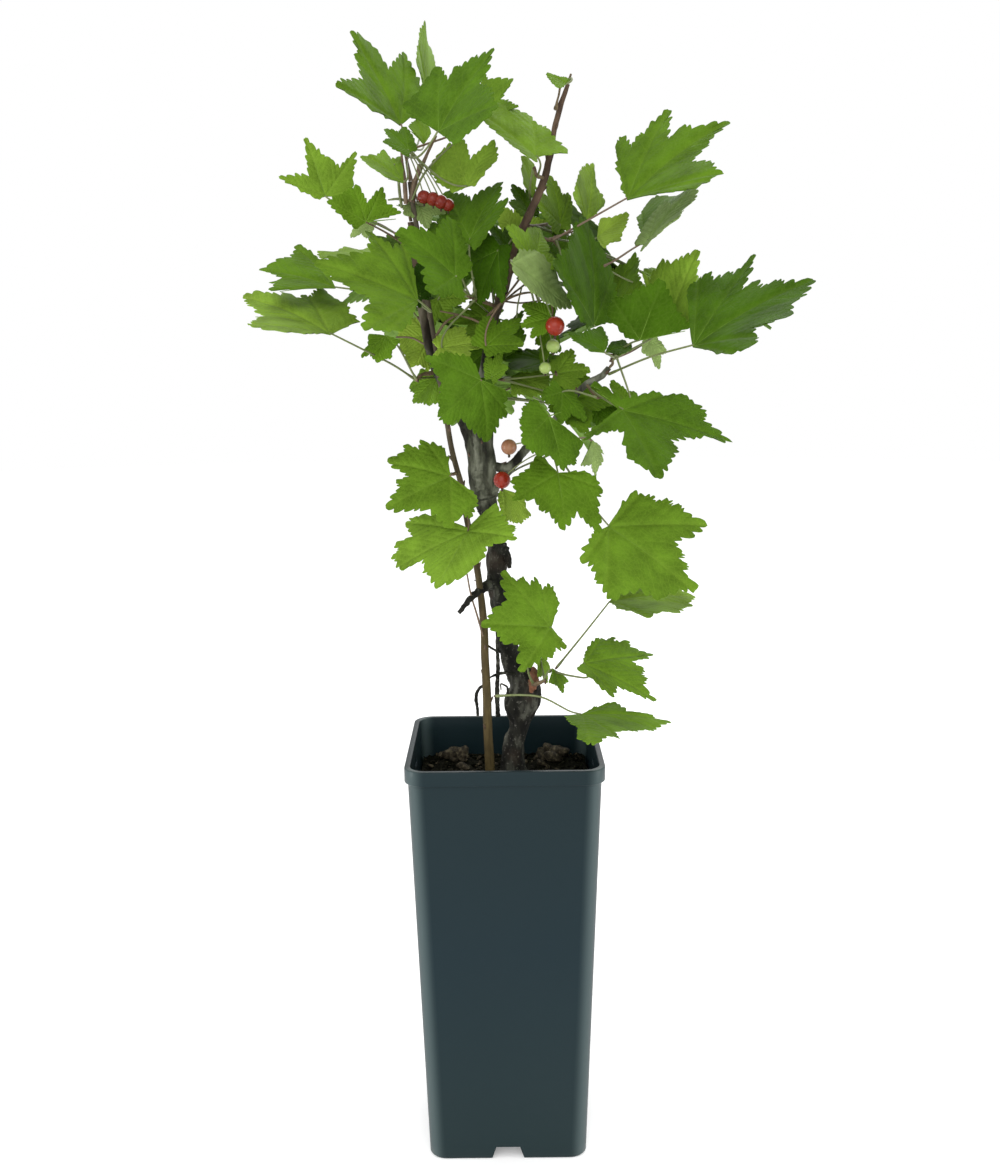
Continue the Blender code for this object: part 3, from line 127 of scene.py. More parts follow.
# Limbs, as (across, down, depth in mm, diameter in mm) from the ground or fork to the tip
LIMBS = {
    "trunk": (
        (514, 790, 0, 17.0),
        (513, 765, 0, 13.5),
        (514, 742, 0, 11.0),
        (520, 722, 0, 11.0),
        (521, 706, 0, 19.0),
        (525, 688, 0, 17.5),
        (513, 662, 0, 11.5),
        (505, 632, 0, 10.5),
        (500, 602, 0, 10.0),
        (496, 582, 0, 10.0),
        (497, 562, 0, 11.0),
        (496, 543, 0, 9.0),
        (491, 520, 0, 9.0),
        (485, 499, 0, 12.5),
    ),
    "left_bough": (
        (479, 496, 2, 5.6),
        (474, 480, 3, 6.0),
        (469, 457, 4, 6.2),
        (461, 433, 5, 5.8),
        (448, 400, 6, 5.4),
        (437, 374, 6, 5.2),
        (430, 350, 6, 5.0),
        (424, 320, 6, 4.8),
        (420, 288, 6, 4.6),
        (415, 250, 5, 4.2),
        (411, 222, 4, 3.8),
    ),
    "right_bough": (
        (491, 496, 0, 5.6),
        (489, 478, 0, 6.4),
        (487, 445, 1, 6.2),
        (485, 410, 2, 5.8),
        (484, 378, 2, 5.4),
        (487, 358, 2, 5.4),
        (491, 335, 2, 5.0),
        (497, 310, 2, 4.8),
        (505, 288, 1, 4.8),
        (511, 262, 0, 4.6),
        (517, 241, -1, 4.6),
        (528, 217, -2, 4.8),
        (541, 188, -4, 4.4),
        (549, 161, -6, 4.0),
        (555, 127, -8, 3.4),
        (561, 104, -9, 3.0),
        (568, 84, -10, 2.4),
    ),
    "side_bough": (
        (498, 482, -2, 4.6),
        (508, 467, -4, 4.8),
        (526, 449, -7, 4.4),
        (548, 428, -8, 3.8),
        (570, 402, -9, 3.4),
        (588, 383, -10, 3.2),
        (603, 375, -11, 3.2),
        (609, 368, -12, 3.0),
    ),
    "young_shoot": (
        (491, 790, -14, 5.6),
        (490, 767, -14, 5.4),
        (488, 732, -14, 5.0),
        (487, 697, -14, 4.8),
        (485, 656, -14, 4.4),
        (484, 627, -13, 4.2),
        (481, 597, -13, 4.0),
        (477, 568, -12, 3.9),
        (468, 525, -11, 3.8),
        (460, 480, -10, 3.8),
        (453, 455, -9, 3.7),
        (447, 422, -8, 3.6),
        (441, 385, -7, 3.5),
        (437, 355, -6, 3.4),
        (431, 320, -6, 3.3),
        (425, 285, -7, 3.2),
        (419, 240, -8, 3.2),
        (413, 205, -8, 3.2),
        (410, 182, -8, 3.2),
    ),
}
ROOTED = ("trunk", "young_shoot")
FORK_OFFSET = {"left_bough": -3.2 * MM, "right_bough": 3.2 * MM}
SIDE_HOST = "right_bough"
SNAGS = (
    ((494, 581, 0, 4.2), (484, 588, -10, 3.2), (472, 597, -17, 2.4), (459, 613, -17, 1.6)),
    ((501, 546, -2, 4.6), (507, 556, -4, 3.1), (510, 568, -4, 1.2)),
)


def leaf(base, *lobes, depth, lean=0, pale=False):
    """A drawn leaf. base is where its stalk joins, and lobes are the tips in order round it: side,
    main, side; or basal, side, main, side, basal; or main and one side, with the other half folded
    away. lean is +1 where the tip points back, -1 where it points forward, and 0 where the upper
    face looks up. A pale leaf shows its underside."""
    return SimpleNamespace(base=base, lobes=lobes, depth=depth * MM, lean=lean, pale=pale)


def mass(limb, stem, leaves, berries=()):
    """A mass of foliage: the limb that its stem springs from, the stem's points as (across, down,
    depth in mm), its drawn leaves, and its berries as (across, down, depth in mm, diameter in mm)."""
    return SimpleNamespace(limb=limb, stem=stem, leaves=leaves, berries=berries)


MASSES = {
    "crown_top_left": mass(
        "young_shoot",
        ((408, 168, -8), (405, 152, -9), (402, 140, -10)),
        (
            leaf((401, 124), (336, 83), (348, 33), (407, 50), depth=-12),
            leaf((403, 182), (372, 177), (361, 152), (386, 151), depth=-18),
            leaf((425, 92), (415, 52), (420, 22), (436, 64), depth=12),
            leaf((438, 131), (440, 67), (493, 48), (494, 106), depth=-26),
            leaf((480, 121), (482, 81), (513, 80), (519, 107), depth=4),
            leaf((467, 186), (429, 172), (452, 140), (493, 139), (500, 166), (490, 182), depth=-22),
            leaf((424, 144), (408, 128), (414, 117), (429, 122), depth=-4),
            leaf((408, 150), (383, 142), (386, 128), (404, 127), depth=-16),
        ),
        berries=((424, 197, -16, 8.6), (433, 199, -17, 8.8), (441, 202, -18, 8.8), (448, 205, -17, 8.0)),
    ),
    "left_upper": mass(
        "left_bough",
        ((405, 240, -2), (397, 234, -8)),
        (
            leaf((325, 196), (281, 178), (306, 140), (354, 155), depth=-16),
            leaf((366, 222), (327, 200), (352, 184), (382, 187), (399, 210), (385, 220), depth=-30),
            leaf((370, 222), (352, 222), (350, 236), (368, 238), depth=-6),
        ),
    ),
    "left_middle": mass(
        "left_bough",
        ((409, 292, 0), (400, 296, -8)),
        (
            leaf((418, 300), (390, 330), (363, 328), (316, 261), (370, 229), (402, 243), depth=-34),
            leaf((335, 287), (272, 292), (260, 269), (296, 245), depth=-6),
            leaf((374, 262), (340, 256), (312, 251), (345, 246), depth=24),
            leaf((420, 296), (398, 284), (400, 256), (421, 262), depth=-14),
        ),
    ),
    "left_low": mass(
        "left_bough",
        ((424, 374, 0), (416, 380, -6)),
        (
            leaf((330, 333), (250, 325), (243, 297), (305, 294), (358, 318), depth=-30),
            leaf((386, 336), (360, 357), (377, 364), (398, 349), depth=-12),
        ),
    ),
    "centre_left": mass(
        "right_bough",
        ((480, 300, -10), (468, 296, -18)),
        (
            leaf((456, 276), (430, 292), (398, 230), (452, 218), depth=-46),
            leaf((470, 238), (448, 194), (499, 181), (508, 200), depth=-28),
            leaf((498, 250), (456, 274), (478, 304), (503, 300), depth=-30),
            leaf((442, 348), (463, 327), (486, 342), (468, 360), depth=-6),
            leaf((438, 300), (428, 330), (450, 322), (470, 296), depth=20),
            leaf((446, 236), (427, 222), (441, 216), (462, 214), depth=-8),
        ),
    ),
    "centre_right": mass(
        "right_bough",
        ((521, 262, -10), (528, 272, -16)),
        (
            leaf((534, 262), (507, 226), (540, 229), (557, 262), depth=-36),
            leaf((512, 262), (566, 311), (537, 250), depth=-50, pale=True),
            leaf((552, 318), (523, 304), (521, 326), (531, 338), depth=-20),
            leaf((516, 236), (500, 206), (527, 200), (546, 222), depth=22),
            leaf((486, 346), (487, 316), (520, 318), (524, 345), depth=-20),
            leaf((560, 224), (536, 203), (551, 175), (569, 194), depth=6),
        ),
        berries=((555, 326, -34, 10.6), (553, 346, -26, 7.6), (545, 368, -24, 6.6)),
    ),
    "centre_low": mass(
        "right_bough",
        ((496, 378, -8), (504, 380, -14)),
        (
            leaf((481, 380), (425, 357), (441, 417), (487, 443), (508, 415), (512, 393), depth=-40),
            leaf((492, 377), (487, 357), (501, 352), (508, 368), depth=-12),
            leaf((511, 377), (520, 392), (548, 388), (536, 364), depth=-12),
            leaf((556, 374), (573, 350), (590, 369), (583, 392), depth=-4),
        ),
    ),
    "trunk_left": mass(
        "young_shoot",
        ((452, 474, -14), (444, 480, -18)),
        (
            leaf((450, 476), (425, 440), (387, 461), (388, 508), (452, 521), (478, 500), depth=-26),
            leaf((468, 531), (497, 507), (406, 522), (398, 568), (436, 587), (517, 537), depth=-40),
        ),
    ),
    "right_low": mass(
        "side_bough",
        ((548, 440, -14), (556, 452, -20)),
        (
            leaf((549, 416), (535, 400), (522, 446), (562, 466), (582, 440), (574, 408), depth=-30),
            leaf((558, 473), (536, 456), (513, 500), (566, 528), (603, 489), (584, 472), depth=-26),
            leaf((609, 526), (583, 562), (606, 597), (695, 592), (709, 523), (640, 494), depth=-34),
            leaf((592, 441), (582, 462), (596, 477), (600, 460), depth=6, pale=True),
            leaf((503, 489), (504, 520), (532, 516), (524, 496), depth=2),
        ),
        berries=((509, 447, -14, 9.0), (502, 480, -20, 9.8)),
    ),
    "base_right": mass(
        "trunk",
        ((536, 684, -16), (546, 680, -20)),
        (
            leaf((551, 627), (540, 577), (502, 573), (482, 623), (521, 672), (566, 650), depth=-24),
            leaf((610, 601), (637, 578), (694, 594), (647, 617), depth=-10),
            leaf((584, 663), (600, 640), (653, 654), (655, 700), (614, 694), depth=-36),
            leaf((581, 714), (618, 703), (670, 721), (617, 738), (590, 748), depth=-46),
            leaf((553, 669), (552, 684), (563, 692), (569, 679), depth=-22),
            leaf((541, 661), (538, 676), (547, 683), (551, 672), depth=-12),
        ),
    ),
    "right_middle": mass(
        "side_bough",
        ((612, 358, -13), (616, 352, -14)),
        (
            leaf((693, 345), (700, 279), (756, 256), (809, 277), (757, 336), (732, 353), depth=-52),
            leaf((668, 325), (643, 270), (698, 251), (694, 318), depth=-16),
            leaf((640, 340), (612, 298), (662, 282), (690, 330), depth=-36),
            leaf((604, 352), (606, 334), (572, 334), (586, 351), depth=-26),
            leaf((606, 352), (632, 346), (620, 354), depth=-26),
            leaf((650, 340), (642, 352), (660, 369), (666, 352), depth=8, pale=True),
            leaf((630, 408), (606, 399), (612, 380), (635, 392), depth=10),
        ),
    ),
    "right_reach": mass(
        "side_bough",
        ((592, 392, -20), (598, 398, -26)),
        (
            leaf((623, 409), (590, 384), (678, 389), (731, 443), (660, 474), (582, 438), depth=-46),
            leaf((562, 392), (542, 398), (560, 424), (586, 420), depth=-18),
        ),
    ),
    "right_upper": mass(
        "right_bough",
        ((548, 240, 2), (560, 236, 6)),
        (
            leaf((627, 198), (614, 152), (669, 109), (727, 117), (722, 172), (700, 182), depth=-6),
            leaf((646, 241), (641, 209), (697, 187), (684, 214), depth=12, pale=True),
            leaf((586, 222), (574, 180), (590, 164), (604, 205), depth=12),
            leaf((597, 238), (600, 217), (628, 215), (606, 249), depth=16),
            leaf((595, 326), (553, 262), (588, 216), (614, 268), depth=-4),
            leaf((612, 304), (613, 268), (637, 252), (641, 288), depth=14),
        ),
    ),
    "top_right": mass(
        "right_bough",
        ((537, 176, -14), (534, 168, -20)),
        (
            leaf((537, 156), (464, 106), (531, 115), depth=-34),
            leaf((532, 198), (519, 176), (527, 160), (536, 172), depth=-2),
        ),
    ),
    "leader_tip": mass(
        "right_bough",
        ((569, 80, -10), (571, 74, -12)),
        (leaf((566, 84), (556, 83), (546, 72), (562, 69), (574, 76), depth=-17),),
    ),
}
DENSE = (
    (418, 175), (455, 190), (500, 192), (525, 212), (560, 182), (600, 215), (606, 250), (640, 272),
    (662, 298), (640, 330), (602, 336), (588, 352), (602, 385), (590, 440), (560, 460), (530, 450),
    (518, 400), (480, 402), (445, 375), (415, 352), (385, 328), (368, 290), (385, 250), (400, 215),
)
COVERED = 0.86
BACKS = {
    "back_top": ("left_bough", ((411, 212, 8), (419, 165, 28)), (395, 60, 520, 190), (15, 80), 5),
    "back_left": ("left_bough", ((418, 300, 20), (410, 290, 40)), (300, 200, 440, 330), (30, 130), 8),
    "back_middle": ("right_bough", ((496, 318, 16), (500, 310, 40)), (420, 190, 560, 340), (14, 140), 13),
    "back_right": ("right_bough", ((530, 226, 14), (560, 222, 46)), (540, 150, 720, 340), (20, 140), 11),
    "back_low": ("right_bough", ((492, 394, 14), (500, 400, 36)), (440, 330, 620, 470), (14, 110), 8),
    "back_base": ("trunk", ((508, 590, 14), (520, 580, 30)), (500, 480, 690, 600), (25, 90), 1),
}


# Growth: the drawing, limbs, blades, and the twigs and stalks that join them


def sight_lines(points):
    """Directions from the eye through points of the drawing, each one unit deep along +Y."""
    across, down = ((np.atleast_2d(points) - MIDDLE) / FOCAL).T[..., None]
    ahead = np.array([0, math.cos(LOOKS_DOWN), -math.sin(LOOKS_DOWN)])
    above = np.array([0, math.sin(LOOKS_DOWN), math.cos(LOOKS_DOWN)])
    right = np.array([math.cos(LEANS), 0, 0]) + math.sin(LEANS) * above
    up = math.cos(LEANS) * above - np.array([math.sin(LEANS), 0, 0])
    lines = ahead + across * right - down * up
    return lines / lines[:, 1:2]


def place(points, depth):
    """Places of points of the drawing at a depth behind the pot's axis."""
    return EYE + sight_lines(points) * (np.reshape(depth, (-1, 1)) - EYE[1])


def drawn(places):
    """Points of the drawing where places show: the inverse of place."""
    ahead = np.array([0, math.cos(LOOKS_DOWN), -math.sin(LOOKS_DOWN)])
    above = np.array([0, math.sin(LOOKS_DOWN), math.cos(LOOKS_DOWN)])
    right = np.array([math.cos(LEANS), 0, 0]) + math.sin(LEANS) * above
    up = math.cos(LEANS) * above - np.array([math.sin(LEANS), 0, 0])
    seen = places - EYE
    far = seen @ ahead
    return MIDDLE + FOCAL * np.stack([seen @ right / far, -(seen @ up) / far], -1)


def unit(vectors):
    """Vectors scaled to a length of one."""
    return vectors / np.linalg.norm(vectors, axis=-1, keepdims=True)


def smooth_path(points, count):
    """count places on a smooth curve through points: cubic pieces whose slopes are the mean slope
    between each point's neighbours, spread evenly along the chords."""
    points = np.asarray(points, float)
    reach = np.r_[0, np.cumsum(np.linalg.norm(np.diff(points[:, :3], axis=0), axis=1))]
    slopes = np.gradient(points, reach, axis=0)
    at = np.linspace(0, reach[-1], count)
    i = np.clip(np.searchsorted(reach, at, side="right") - 1, 0, len(reach) - 2)
    step = (reach[i + 1] - reach[i])[:, None]
    t = (at - reach[i])[:, None] / step
    start, end = points[i], points[i + 1]
    bend = (t**3 - 2 * t**2 + t) * slopes[i] + (t**3 - t**2) * slopes[i + 1]
    return start + (3 * t**2 - 2 * t**3) * (end - start) + step * bend


def limb(name, limbs):
    """A limb's axis, radii and first direction, on a smooth curve through its drawn stations. It
    stands on the ground, on the trunk's cut top, or against the bough that it springs from."""
    stations = np.array(LIMBS[name], float)
    axis = place(stations[:, :2], stations[:, 2] * MM)
    first = np.array([0, 0, 1.0])
    if name in ROOTED:
        low = axis[1] - axis[0]
        axis[0] += low * (SOIL_TOP + GAP - axis[0, 2]) / low[2]
    elif name in FORK_OFFSET:
        trunk = limbs["trunk"]
        first = unit(trunk.axis[-1] - trunk.axis[-2])
        aside = unit(np.cross([0, 1.0, 0], first)) * FORK_OFFSET[name]
        axis[0] = trunk.axis[-1] + first * GAP + aside
    else:
        axis[0], first = spring(limbs[SIDE_HOST], axis[1])
    curve = np.c_[axis, stations[:, 3] * MM / 2]
    path = smooth_path(curve, 2 * len(stations))
    probe = smooth_path(curve, 8 * len(stations))
    return SimpleNamespace(
        name=name, curve=curve, axis=path[:, :3], radius=path[:, 3], first=first, probe=probe[:, :3], thick=probe[:, 3]
    )


def spring(host, towards):
    """Where a shoot leaves a limb for a place, GAP clear of the bark, and its direction there: square
    to the limb, or straight on from its cut tip."""
    i = int(np.linalg.norm(host.probe - towards, axis=1).argmin())
    last = len(host.probe) - 1
    flow = unit(host.probe[min(i + 1, last)] - host.probe[max(i - 1, 0)])
    if i == last:
        flow = unit(host.axis[-1] - host.axis[-2])
        return host.probe[i] + flow * GAP, flow
    out = towards - host.probe[i]
    out = unit(out - out @ flow * flow)
    return host.probe[i] + out * (host.thick[i] + GAP), out


def lobe_angles(plane, base, lobes):
    """Each lobe's angle from the midrib and its length, in leaf lengths, from where its tip shows.
    A lobe that isn't drawn gets the usual one. plane is the leaf's two axes as drawn."""
    usual = [-BASAL_LOBE[0], -SIDE_LOBE[0], 0, SIDE_LOBE[0], BASAL_LOBE[0]]
    reach = [BASAL_LOBE[1], SIDE_LOBE[1], 1.0, SIDE_LOBE[1], BASAL_LOBE[1]]
    spread = ((-2.6, -1.5), (-1.45, -0.62), (0, 0), (0.62, 1.45), (1.5, 2.6))
    first = 2 - len(lobes) // 2
    for i, tip in enumerate(lobes, first):
        u, v = np.linalg.solve(plane, np.array(tip, float) - base)
        if i != 2:
            usual[i] = float(np.clip(math.atan2(v, u), *spread[i]))
            reach[i] = float(np.clip(math.hypot(u, v), 0.3, 1.15))
    return np.array(usual), np.array(reach)


def edge_of(angles, reach):
    """A blade's edge as angles from the midrib and radii in leaf lengths. Its corners are the lobes'
    tips, a sinus between each two, and the notch at the stalk. The side between two corners has a
    middle point too, which bulges outwards by a share of the side's length."""
    sinus = np.array([LOWER_SINUS, UPPER_SINUS, UPPER_SINUS, LOWER_SINUS])
    turn, radii = np.empty(9), np.empty(9)
    turn[::2], turn[1::2] = angles, (angles[1:] + angles[:-1]) / 2
    radii[::2], radii[1::2] = reach, sinus * (reach[1:] + reach[:-1]) / 2
    turn = np.r_[-math.pi, turn, math.pi]
    radii = np.r_[NOTCH, radii, NOTCH]
    corners = np.stack([radii * np.cos(turn), radii * np.sin(turn)], 1)
    side = np.diff(corners, axis=0)
    middles = corners[:-1] + side / 2 + BULGE * np.stack([side[:, 1], -side[:, 0]], 1)
    knots, edge = np.empty(21), np.empty(21)
    knots[::2], edge[::2] = turn, radii
    spread = np.diff(turn)
    angle = np.arctan2(middles[:, 1], middles[:, 0])
    knots[1::2] = np.clip(angle, turn[:-1] + 0.1 * spread, turn[1:] - 0.1 * spread)
    edge[1::2] = np.hypot(*middles.T)
    return knots, edge


def relief(u, v):
    """A blade's height over its plane, in leaf lengths: a fold along the midrib, and a droop that
    grows with the distance from the stalk."""
    return FOLD * np.abs(v) - DROOP * (u * u + 0.6 * v * v)


def make_blade(origin, along, across, knots, radii):
    """A blade from its stalk's end, its axes along the midrib and across it, and its edge. Its
    samples lie on the flat facets between its middle and its rim."""
    length = np.linalg.norm(along)
    face = unit(np.cross(along, across))
    blade = SimpleNamespace(origin=origin, along=along, across=across, face=face, length=length)
    blade.knots, blade.radii = knots, radii
    blade.lifts = relief(radii * np.cos(knots), radii * np.sin(knots))
    blade.inverse = np.linalg.inv(np.stack([along, across, face * length]))
    angle = np.linspace(-math.pi, math.pi, 37)[:-1]
    share = np.array([1.0, 0.8, 0.6, 0.4, 0.2])[:, None]
    rim = share * np.interp(angle, knots, radii)
    height = share * np.interp(angle, knots, blade.lifts)
    blade.samples = raised(blade, rim * np.cos(angle), rim * np.sin(angle), height).reshape(-1, 3)
    return blade


def raised(blade, u, v, height):
    """Places over a blade's plane at u along, v across and a height, all in leaf lengths."""
    u, v, height = (np.asarray(values, float)[..., None] for values in (u, v, height))
    return blade.origin + u * blade.along + v * blade.across + height * blade.length * blade.face


def on_blade(blade, u, v, lift=0.0):
    """Places on a blade at u along and v across, in leaf lengths, lifted off it in metres."""
    u, v = np.asarray(u, float), np.asarray(v, float)
    return raised(blade, u, v, relief(u, v) + lift / blade.length)


def drawn_blade(item):
    """The blade of a drawn leaf. With a and b its axes as drawn, its depths along them follow from
    their being square and equally long: (depth a + i depth b) squared is |b|² - |a|² - 2i a.b."""
    base = np.array(item.base, float)
    lobes = np.array(item.lobes, float)
    main = 0 if len(lobes) == 2 else len(lobes) // 2
    if len(lobes) == 4:
        main = 1 if np.linalg.norm(lobes[1] - base) > np.linalg.norm(lobes[2] - base) else 2
    tip = lobes[main]
    u, v = SIDE_LOBE[1] * math.cos(SIDE_LOBE[0]), SIDE_LOBE[1] * math.sin(SIDE_LOBE[0])
    a = tip - base
    one_sided = len(lobes) == 2
    if one_sided:
        b = (lobes[1] - base - u * a) / v
        order = [lobes[1]]
    else:
        order = [lobes[main - 1], lobes[main + 1]]
        b = (order[1] - order[0]) / (2 * v)
    turn = a[0] * b[1] - a[1] * b[0]
    if turn > 0:
        b = -b
        lobes = lobes[::-1]
    scale = (item.depth - EYE[1]) / FOCAL
    flat_a, flat_b = a * scale, b * scale
    root = np.sqrt(complex(flat_b @ flat_b - flat_a @ flat_a, -2 * flat_a @ flat_b))
    length = math.hypot(np.linalg.norm(flat_a), root.real)
    if length > LONGEST_LEAF:
        spare = max(LONGEST_LEAF**2 - max(flat_a @ flat_a, flat_b @ flat_b), 0)
        root *= math.sqrt(spare) / max(abs(root), 1e-9)
    origin = place(base, item.depth)[0]

    def axes(sign):
        along = place(base + a, item.depth + sign * root.real)[0] - origin
        across = place(base + b, item.depth + sign * root.imag)[0] - origin
        return along, across

    along, across = axes(1)
    if item.lean:
        along, across = axes(item.lean)
    elif np.cross(along, across)[2] < 0:
        along, across = axes(-1)
    if one_sided:
        knots, radii = edge_of(*lobe_angles(np.stack([a, b], 1), base, ()))
        radii = np.where((knots < 0) & (knots > -3), FOLDED_AWAY, radii)
    else:
        if len(lobes) == 4:
            main = len(lobes) - 1 - main if turn > 0 else main
            lobes = lobes[main - 1 : main + 2]
        knots, radii = edge_of(*lobe_angles(np.stack([a, b], 1), base, lobes))
    blade = make_blade(origin, along, across, knots, radii)
    blade.pale, blade.far, blade.item = item.pale, False, item
    return blade


def clearance(points, blade):
    """How far points lie from a blade: their height over its facets, and how far they are past
    its edge."""
    u, v, w = ((points - blade.origin) @ blade.inverse).T
    angle, out = np.arctan2(v, u), np.hypot(u, v)
    edge = np.interp(angle, blade.knots, blade.radii)
    height = np.minimum(out / edge, 1) * np.interp(angle, blade.knots, blade.lifts)
    return blade.length * np.hypot(np.maximum(out - edge, 0), w - height)


def near(one, other, margin):
    """Whether two blades' boxes come within margin."""
    low = np.maximum(one.samples.min(0), other.samples.min(0)) - margin
    high = np.minimum(one.samples.max(0), other.samples.max(0)) + margin
    return bool((low < high).all())


def blade_gap(one, other, most=APART):
    """The gap between two blades, up to a most, read at the sample points of each."""
    if not near(one, other, most):
        return most
    return min(clearance(one.samples, other).min(), clearance(other.samples, one).min())


def limb_push(blade, solids):
    """Which way a blade has to move to clear the limbs and stems: forward, back or neither."""
    push = 0
    for solid in solids:
        gap = clearance(solid.probe, blade) - solid.thick
        k = int(gap.argmin())
        if gap[k] < APART:
            push += 1 if blade.samples[:, 1].mean() > solid.probe[k, 1] else -1
    return push


def settle(items, solids):
    """Moves drawn leaves back or forward along their sight lines until they are clear of each other
    and of the limbs and stems, and returns their blades."""
    blades = [drawn_blade(item) for item in items]
    between = np.zeros((len(items), len(items)))
    beside = np.zeros(len(items))
    moved = range(len(items))
    for _ in range(SETTLE_PASSES):
        for i in moved:
            beside[i] = limb_push(blades[i], solids)
            for j in range(len(items)):
                if j != i:
                    close = blade_gap(blades[i], blades[j]) < APART
                    behind = blades[i].samples[:, 1].mean() > blades[j].samples[:, 1].mean()
                    between[i, j] = close * (1 if behind else -1)
                    between[j, i] = -between[i, j]
        push = np.sign(between.sum(1) + beside)
        moved = np.flatnonzero(push)
        if not len(moved):
            break
        for i in moved:
            items[i].depth = float(np.clip(items[i].depth + SETTLE_STEP * push[i], -DEEPEST, DEEPEST))
            blades[i] = drawn_blade(items[i])
    return blades


def along_path(path, share):
    """The place at a share of the way through a path's points."""
    at = share * (len(path) - 1)
    low = int(at)
    return path[low] + (at - low) * (path[min(low + 1, len(path) - 1)] - path[low])


def stem_of(plan, limbs):
    """A mass's stem: from its limb, straight out at first, and then along its drawn points."""
    host = limbs[plan.limb]
    guide = np.concatenate([place(point[:2], point[2] * MM) for point in plan.stem])
    start, out = spring(host, guide[0])
    path = smooth_path(np.vstack([start, start + out * STEM_STRAIGHT, guide]), 9)
    path[1] = start + out * np.linalg.norm(path[1] - path[0])
    most = 0.6 * host.radius[int(np.linalg.norm(host.axis - start, axis=1).argmin())]
    radius = np.linspace(min(STEM_RADII[0], most), min(STEM_RADII[1], most), 9)
    return SimpleNamespace(axis=path, radius=radius, probe=path, thick=radius, first=out)


def curve(start, leave, arrive, end, count):
    """count places on a cubic curve from start to end, by way of two handles."""
    t = np.linspace(0, 1, count)[:, None]
    return (
        (1 - t) ** 3 * start
        + 3 * t * (1 - t) ** 2 * leave
        + 3 * t * t * (1 - t) * arrive
        + t**3 * end
    )


def stalk_rings(path, blade):
    """A stalk's rings as built: on its path, and sunk in the blade. Where the blade turns back over
    its stalk, the path's end is left out."""
    middle = len(path) // 2
    back = unit(path[-1] - path[middle]) @ unit(blade.along) < TURNED_BACK
    kept = path[[0, middle]] if back else path[[0, middle, -1]]
    return np.vstack([kept, on_blade(blade, [STALK_SUNK], [0.0])])


def chords(rings):
    """Places along the straight pieces between rings, CHORD_STEP apart."""
    reach = np.r_[0, np.cumsum(np.linalg.norm(np.diff(rings, axis=0), axis=1))]
    at = np.linspace(0, reach[-1], int(reach[-1] / CHORD_STEP) + 2)
    return np.stack([np.interp(at, reach, values) for values in rings.T], 1)


def room_round(path, others, walls, routes):
    """The least room between a stalk's skin and blades, limbs and stalks."""
    gaps = [clearance(path, other).min() - LEAF_THICKNESS / 2 for other in others]
    gaps += [(np.linalg.norm(path[:, None] - wall.probe, axis=2) - wall.thick).min() for wall in walls]
    gaps += [np.linalg.norm(path[:, None] - route, axis=2).min() - radius for route, radius in routes]
    return min(gaps, default=1.0) - STALK_RADII[0]


def stalk_paths(stem, share, blade):
    """Curves by which a stalk can run from near a share of its stem to its blade, gentler bends
    first, none of them with a sharp corner as built."""
    end = blade.origin
    for bend in STALK_BENDS:
        for change in STALK_STARTS:
            start = along_path(stem.axis, float(np.clip(share + change, 0.3, 0.97)))
            span = end - start
            reach = np.linalg.norm(span)
            side = unit(np.cross(span, [0.1, 0.2, 1.0]))
            other = unit(np.cross(span, side))
            ahead = unit(unit(span) + 0.7 * unit(blade.along))
            for turn in np.arange(8) * math.pi / 4 if bend else (0,):
                off = reach * bend * (math.cos(turn) * side + math.sin(turn) * other)
                path = curve(start, start + span / 3 + off, end - ahead * reach / 3 + off, end, 17)
                rings = stalk_rings(path, blade)
                legs = unit(np.diff(rings, axis=0))
                if (legs[1:] * legs[:-1]).sum(1).min() > SHARPEST:
                    yield path, rings


def stalk_of(stem, share, blade, own, others, walls, routes):
    """A leaf stalk: the first path with room all round, or else the roomiest, which counts the room
    to other masses most. Nothing where a path has too little of that."""
    best, best_score = None, -1.0
    for path, rings in stalk_paths(stem, share, blade):
        built = chords(rings)[1:]
        far = min(room_round(built, others, walls, routes), ROOM)
        if far < LEAST_ROOM:
            continue
        score = 3 * far + min(room_round(built, own, (), ()), ROOM)
        if score > best_score:
            best, best_score = SimpleNamespace(path=path, rings=rings, built=built), score
        if score >= 4 * ROOM:
            break
    return best


def far_leaf(dice, box, depths, limbs):
    """A seeded leaf for the far side: it springs back and outwards, with its upper face up."""
    spot = (dice.uniform(box[0], box[2]), dice.uniform(box[1], box[3]))
    origin = place(spot, dice.uniform(*depths) * MM)[0]
    axis = limbs["right_bough"].axis
    away = origin - axis[int(np.abs(axis[:, 2] - origin[2]).argmin())]
    away[2] = 0
    swing = dice.uniform(-0.9, 0.9)
    away = unit(away + np.array([0, 0.03, 0]))
    heading = math.cos(swing) * away + math.sin(swing) * np.array([-away[1], away[0], 0])
    heading = unit(heading + np.array([0, 0, dice.uniform(-0.9, 0.5)]))
    length = dice.uniform(46, 66) * MM
    level = unit(np.cross([0, 0, 1.0], heading))
    roll = dice.uniform(-0.6, 0.6)
    across = math.cos(roll) * level + math.sin(roll) * np.cross(heading, level)
    angles = np.array([-1, -1, 0, 1, 1]) * [BASAL_LOBE[0], SIDE_LOBE[0], 0, SIDE_LOBE[0], BASAL_LOBE[0]]
    reach = np.array([BASAL_LOBE[1], SIDE_LOBE[1], 1, SIDE_LOBE[1], BASAL_LOBE[1]])
    reach = reach * np.r_[dice.uniform(0.88, 1.1, 2), 1, dice.uniform(0.88, 1.1, 2)]
    blade = make_blade(origin, heading * length, across * length, *edge_of(angles, reach))
    blade.pale, blade.far = False, True
    return blade


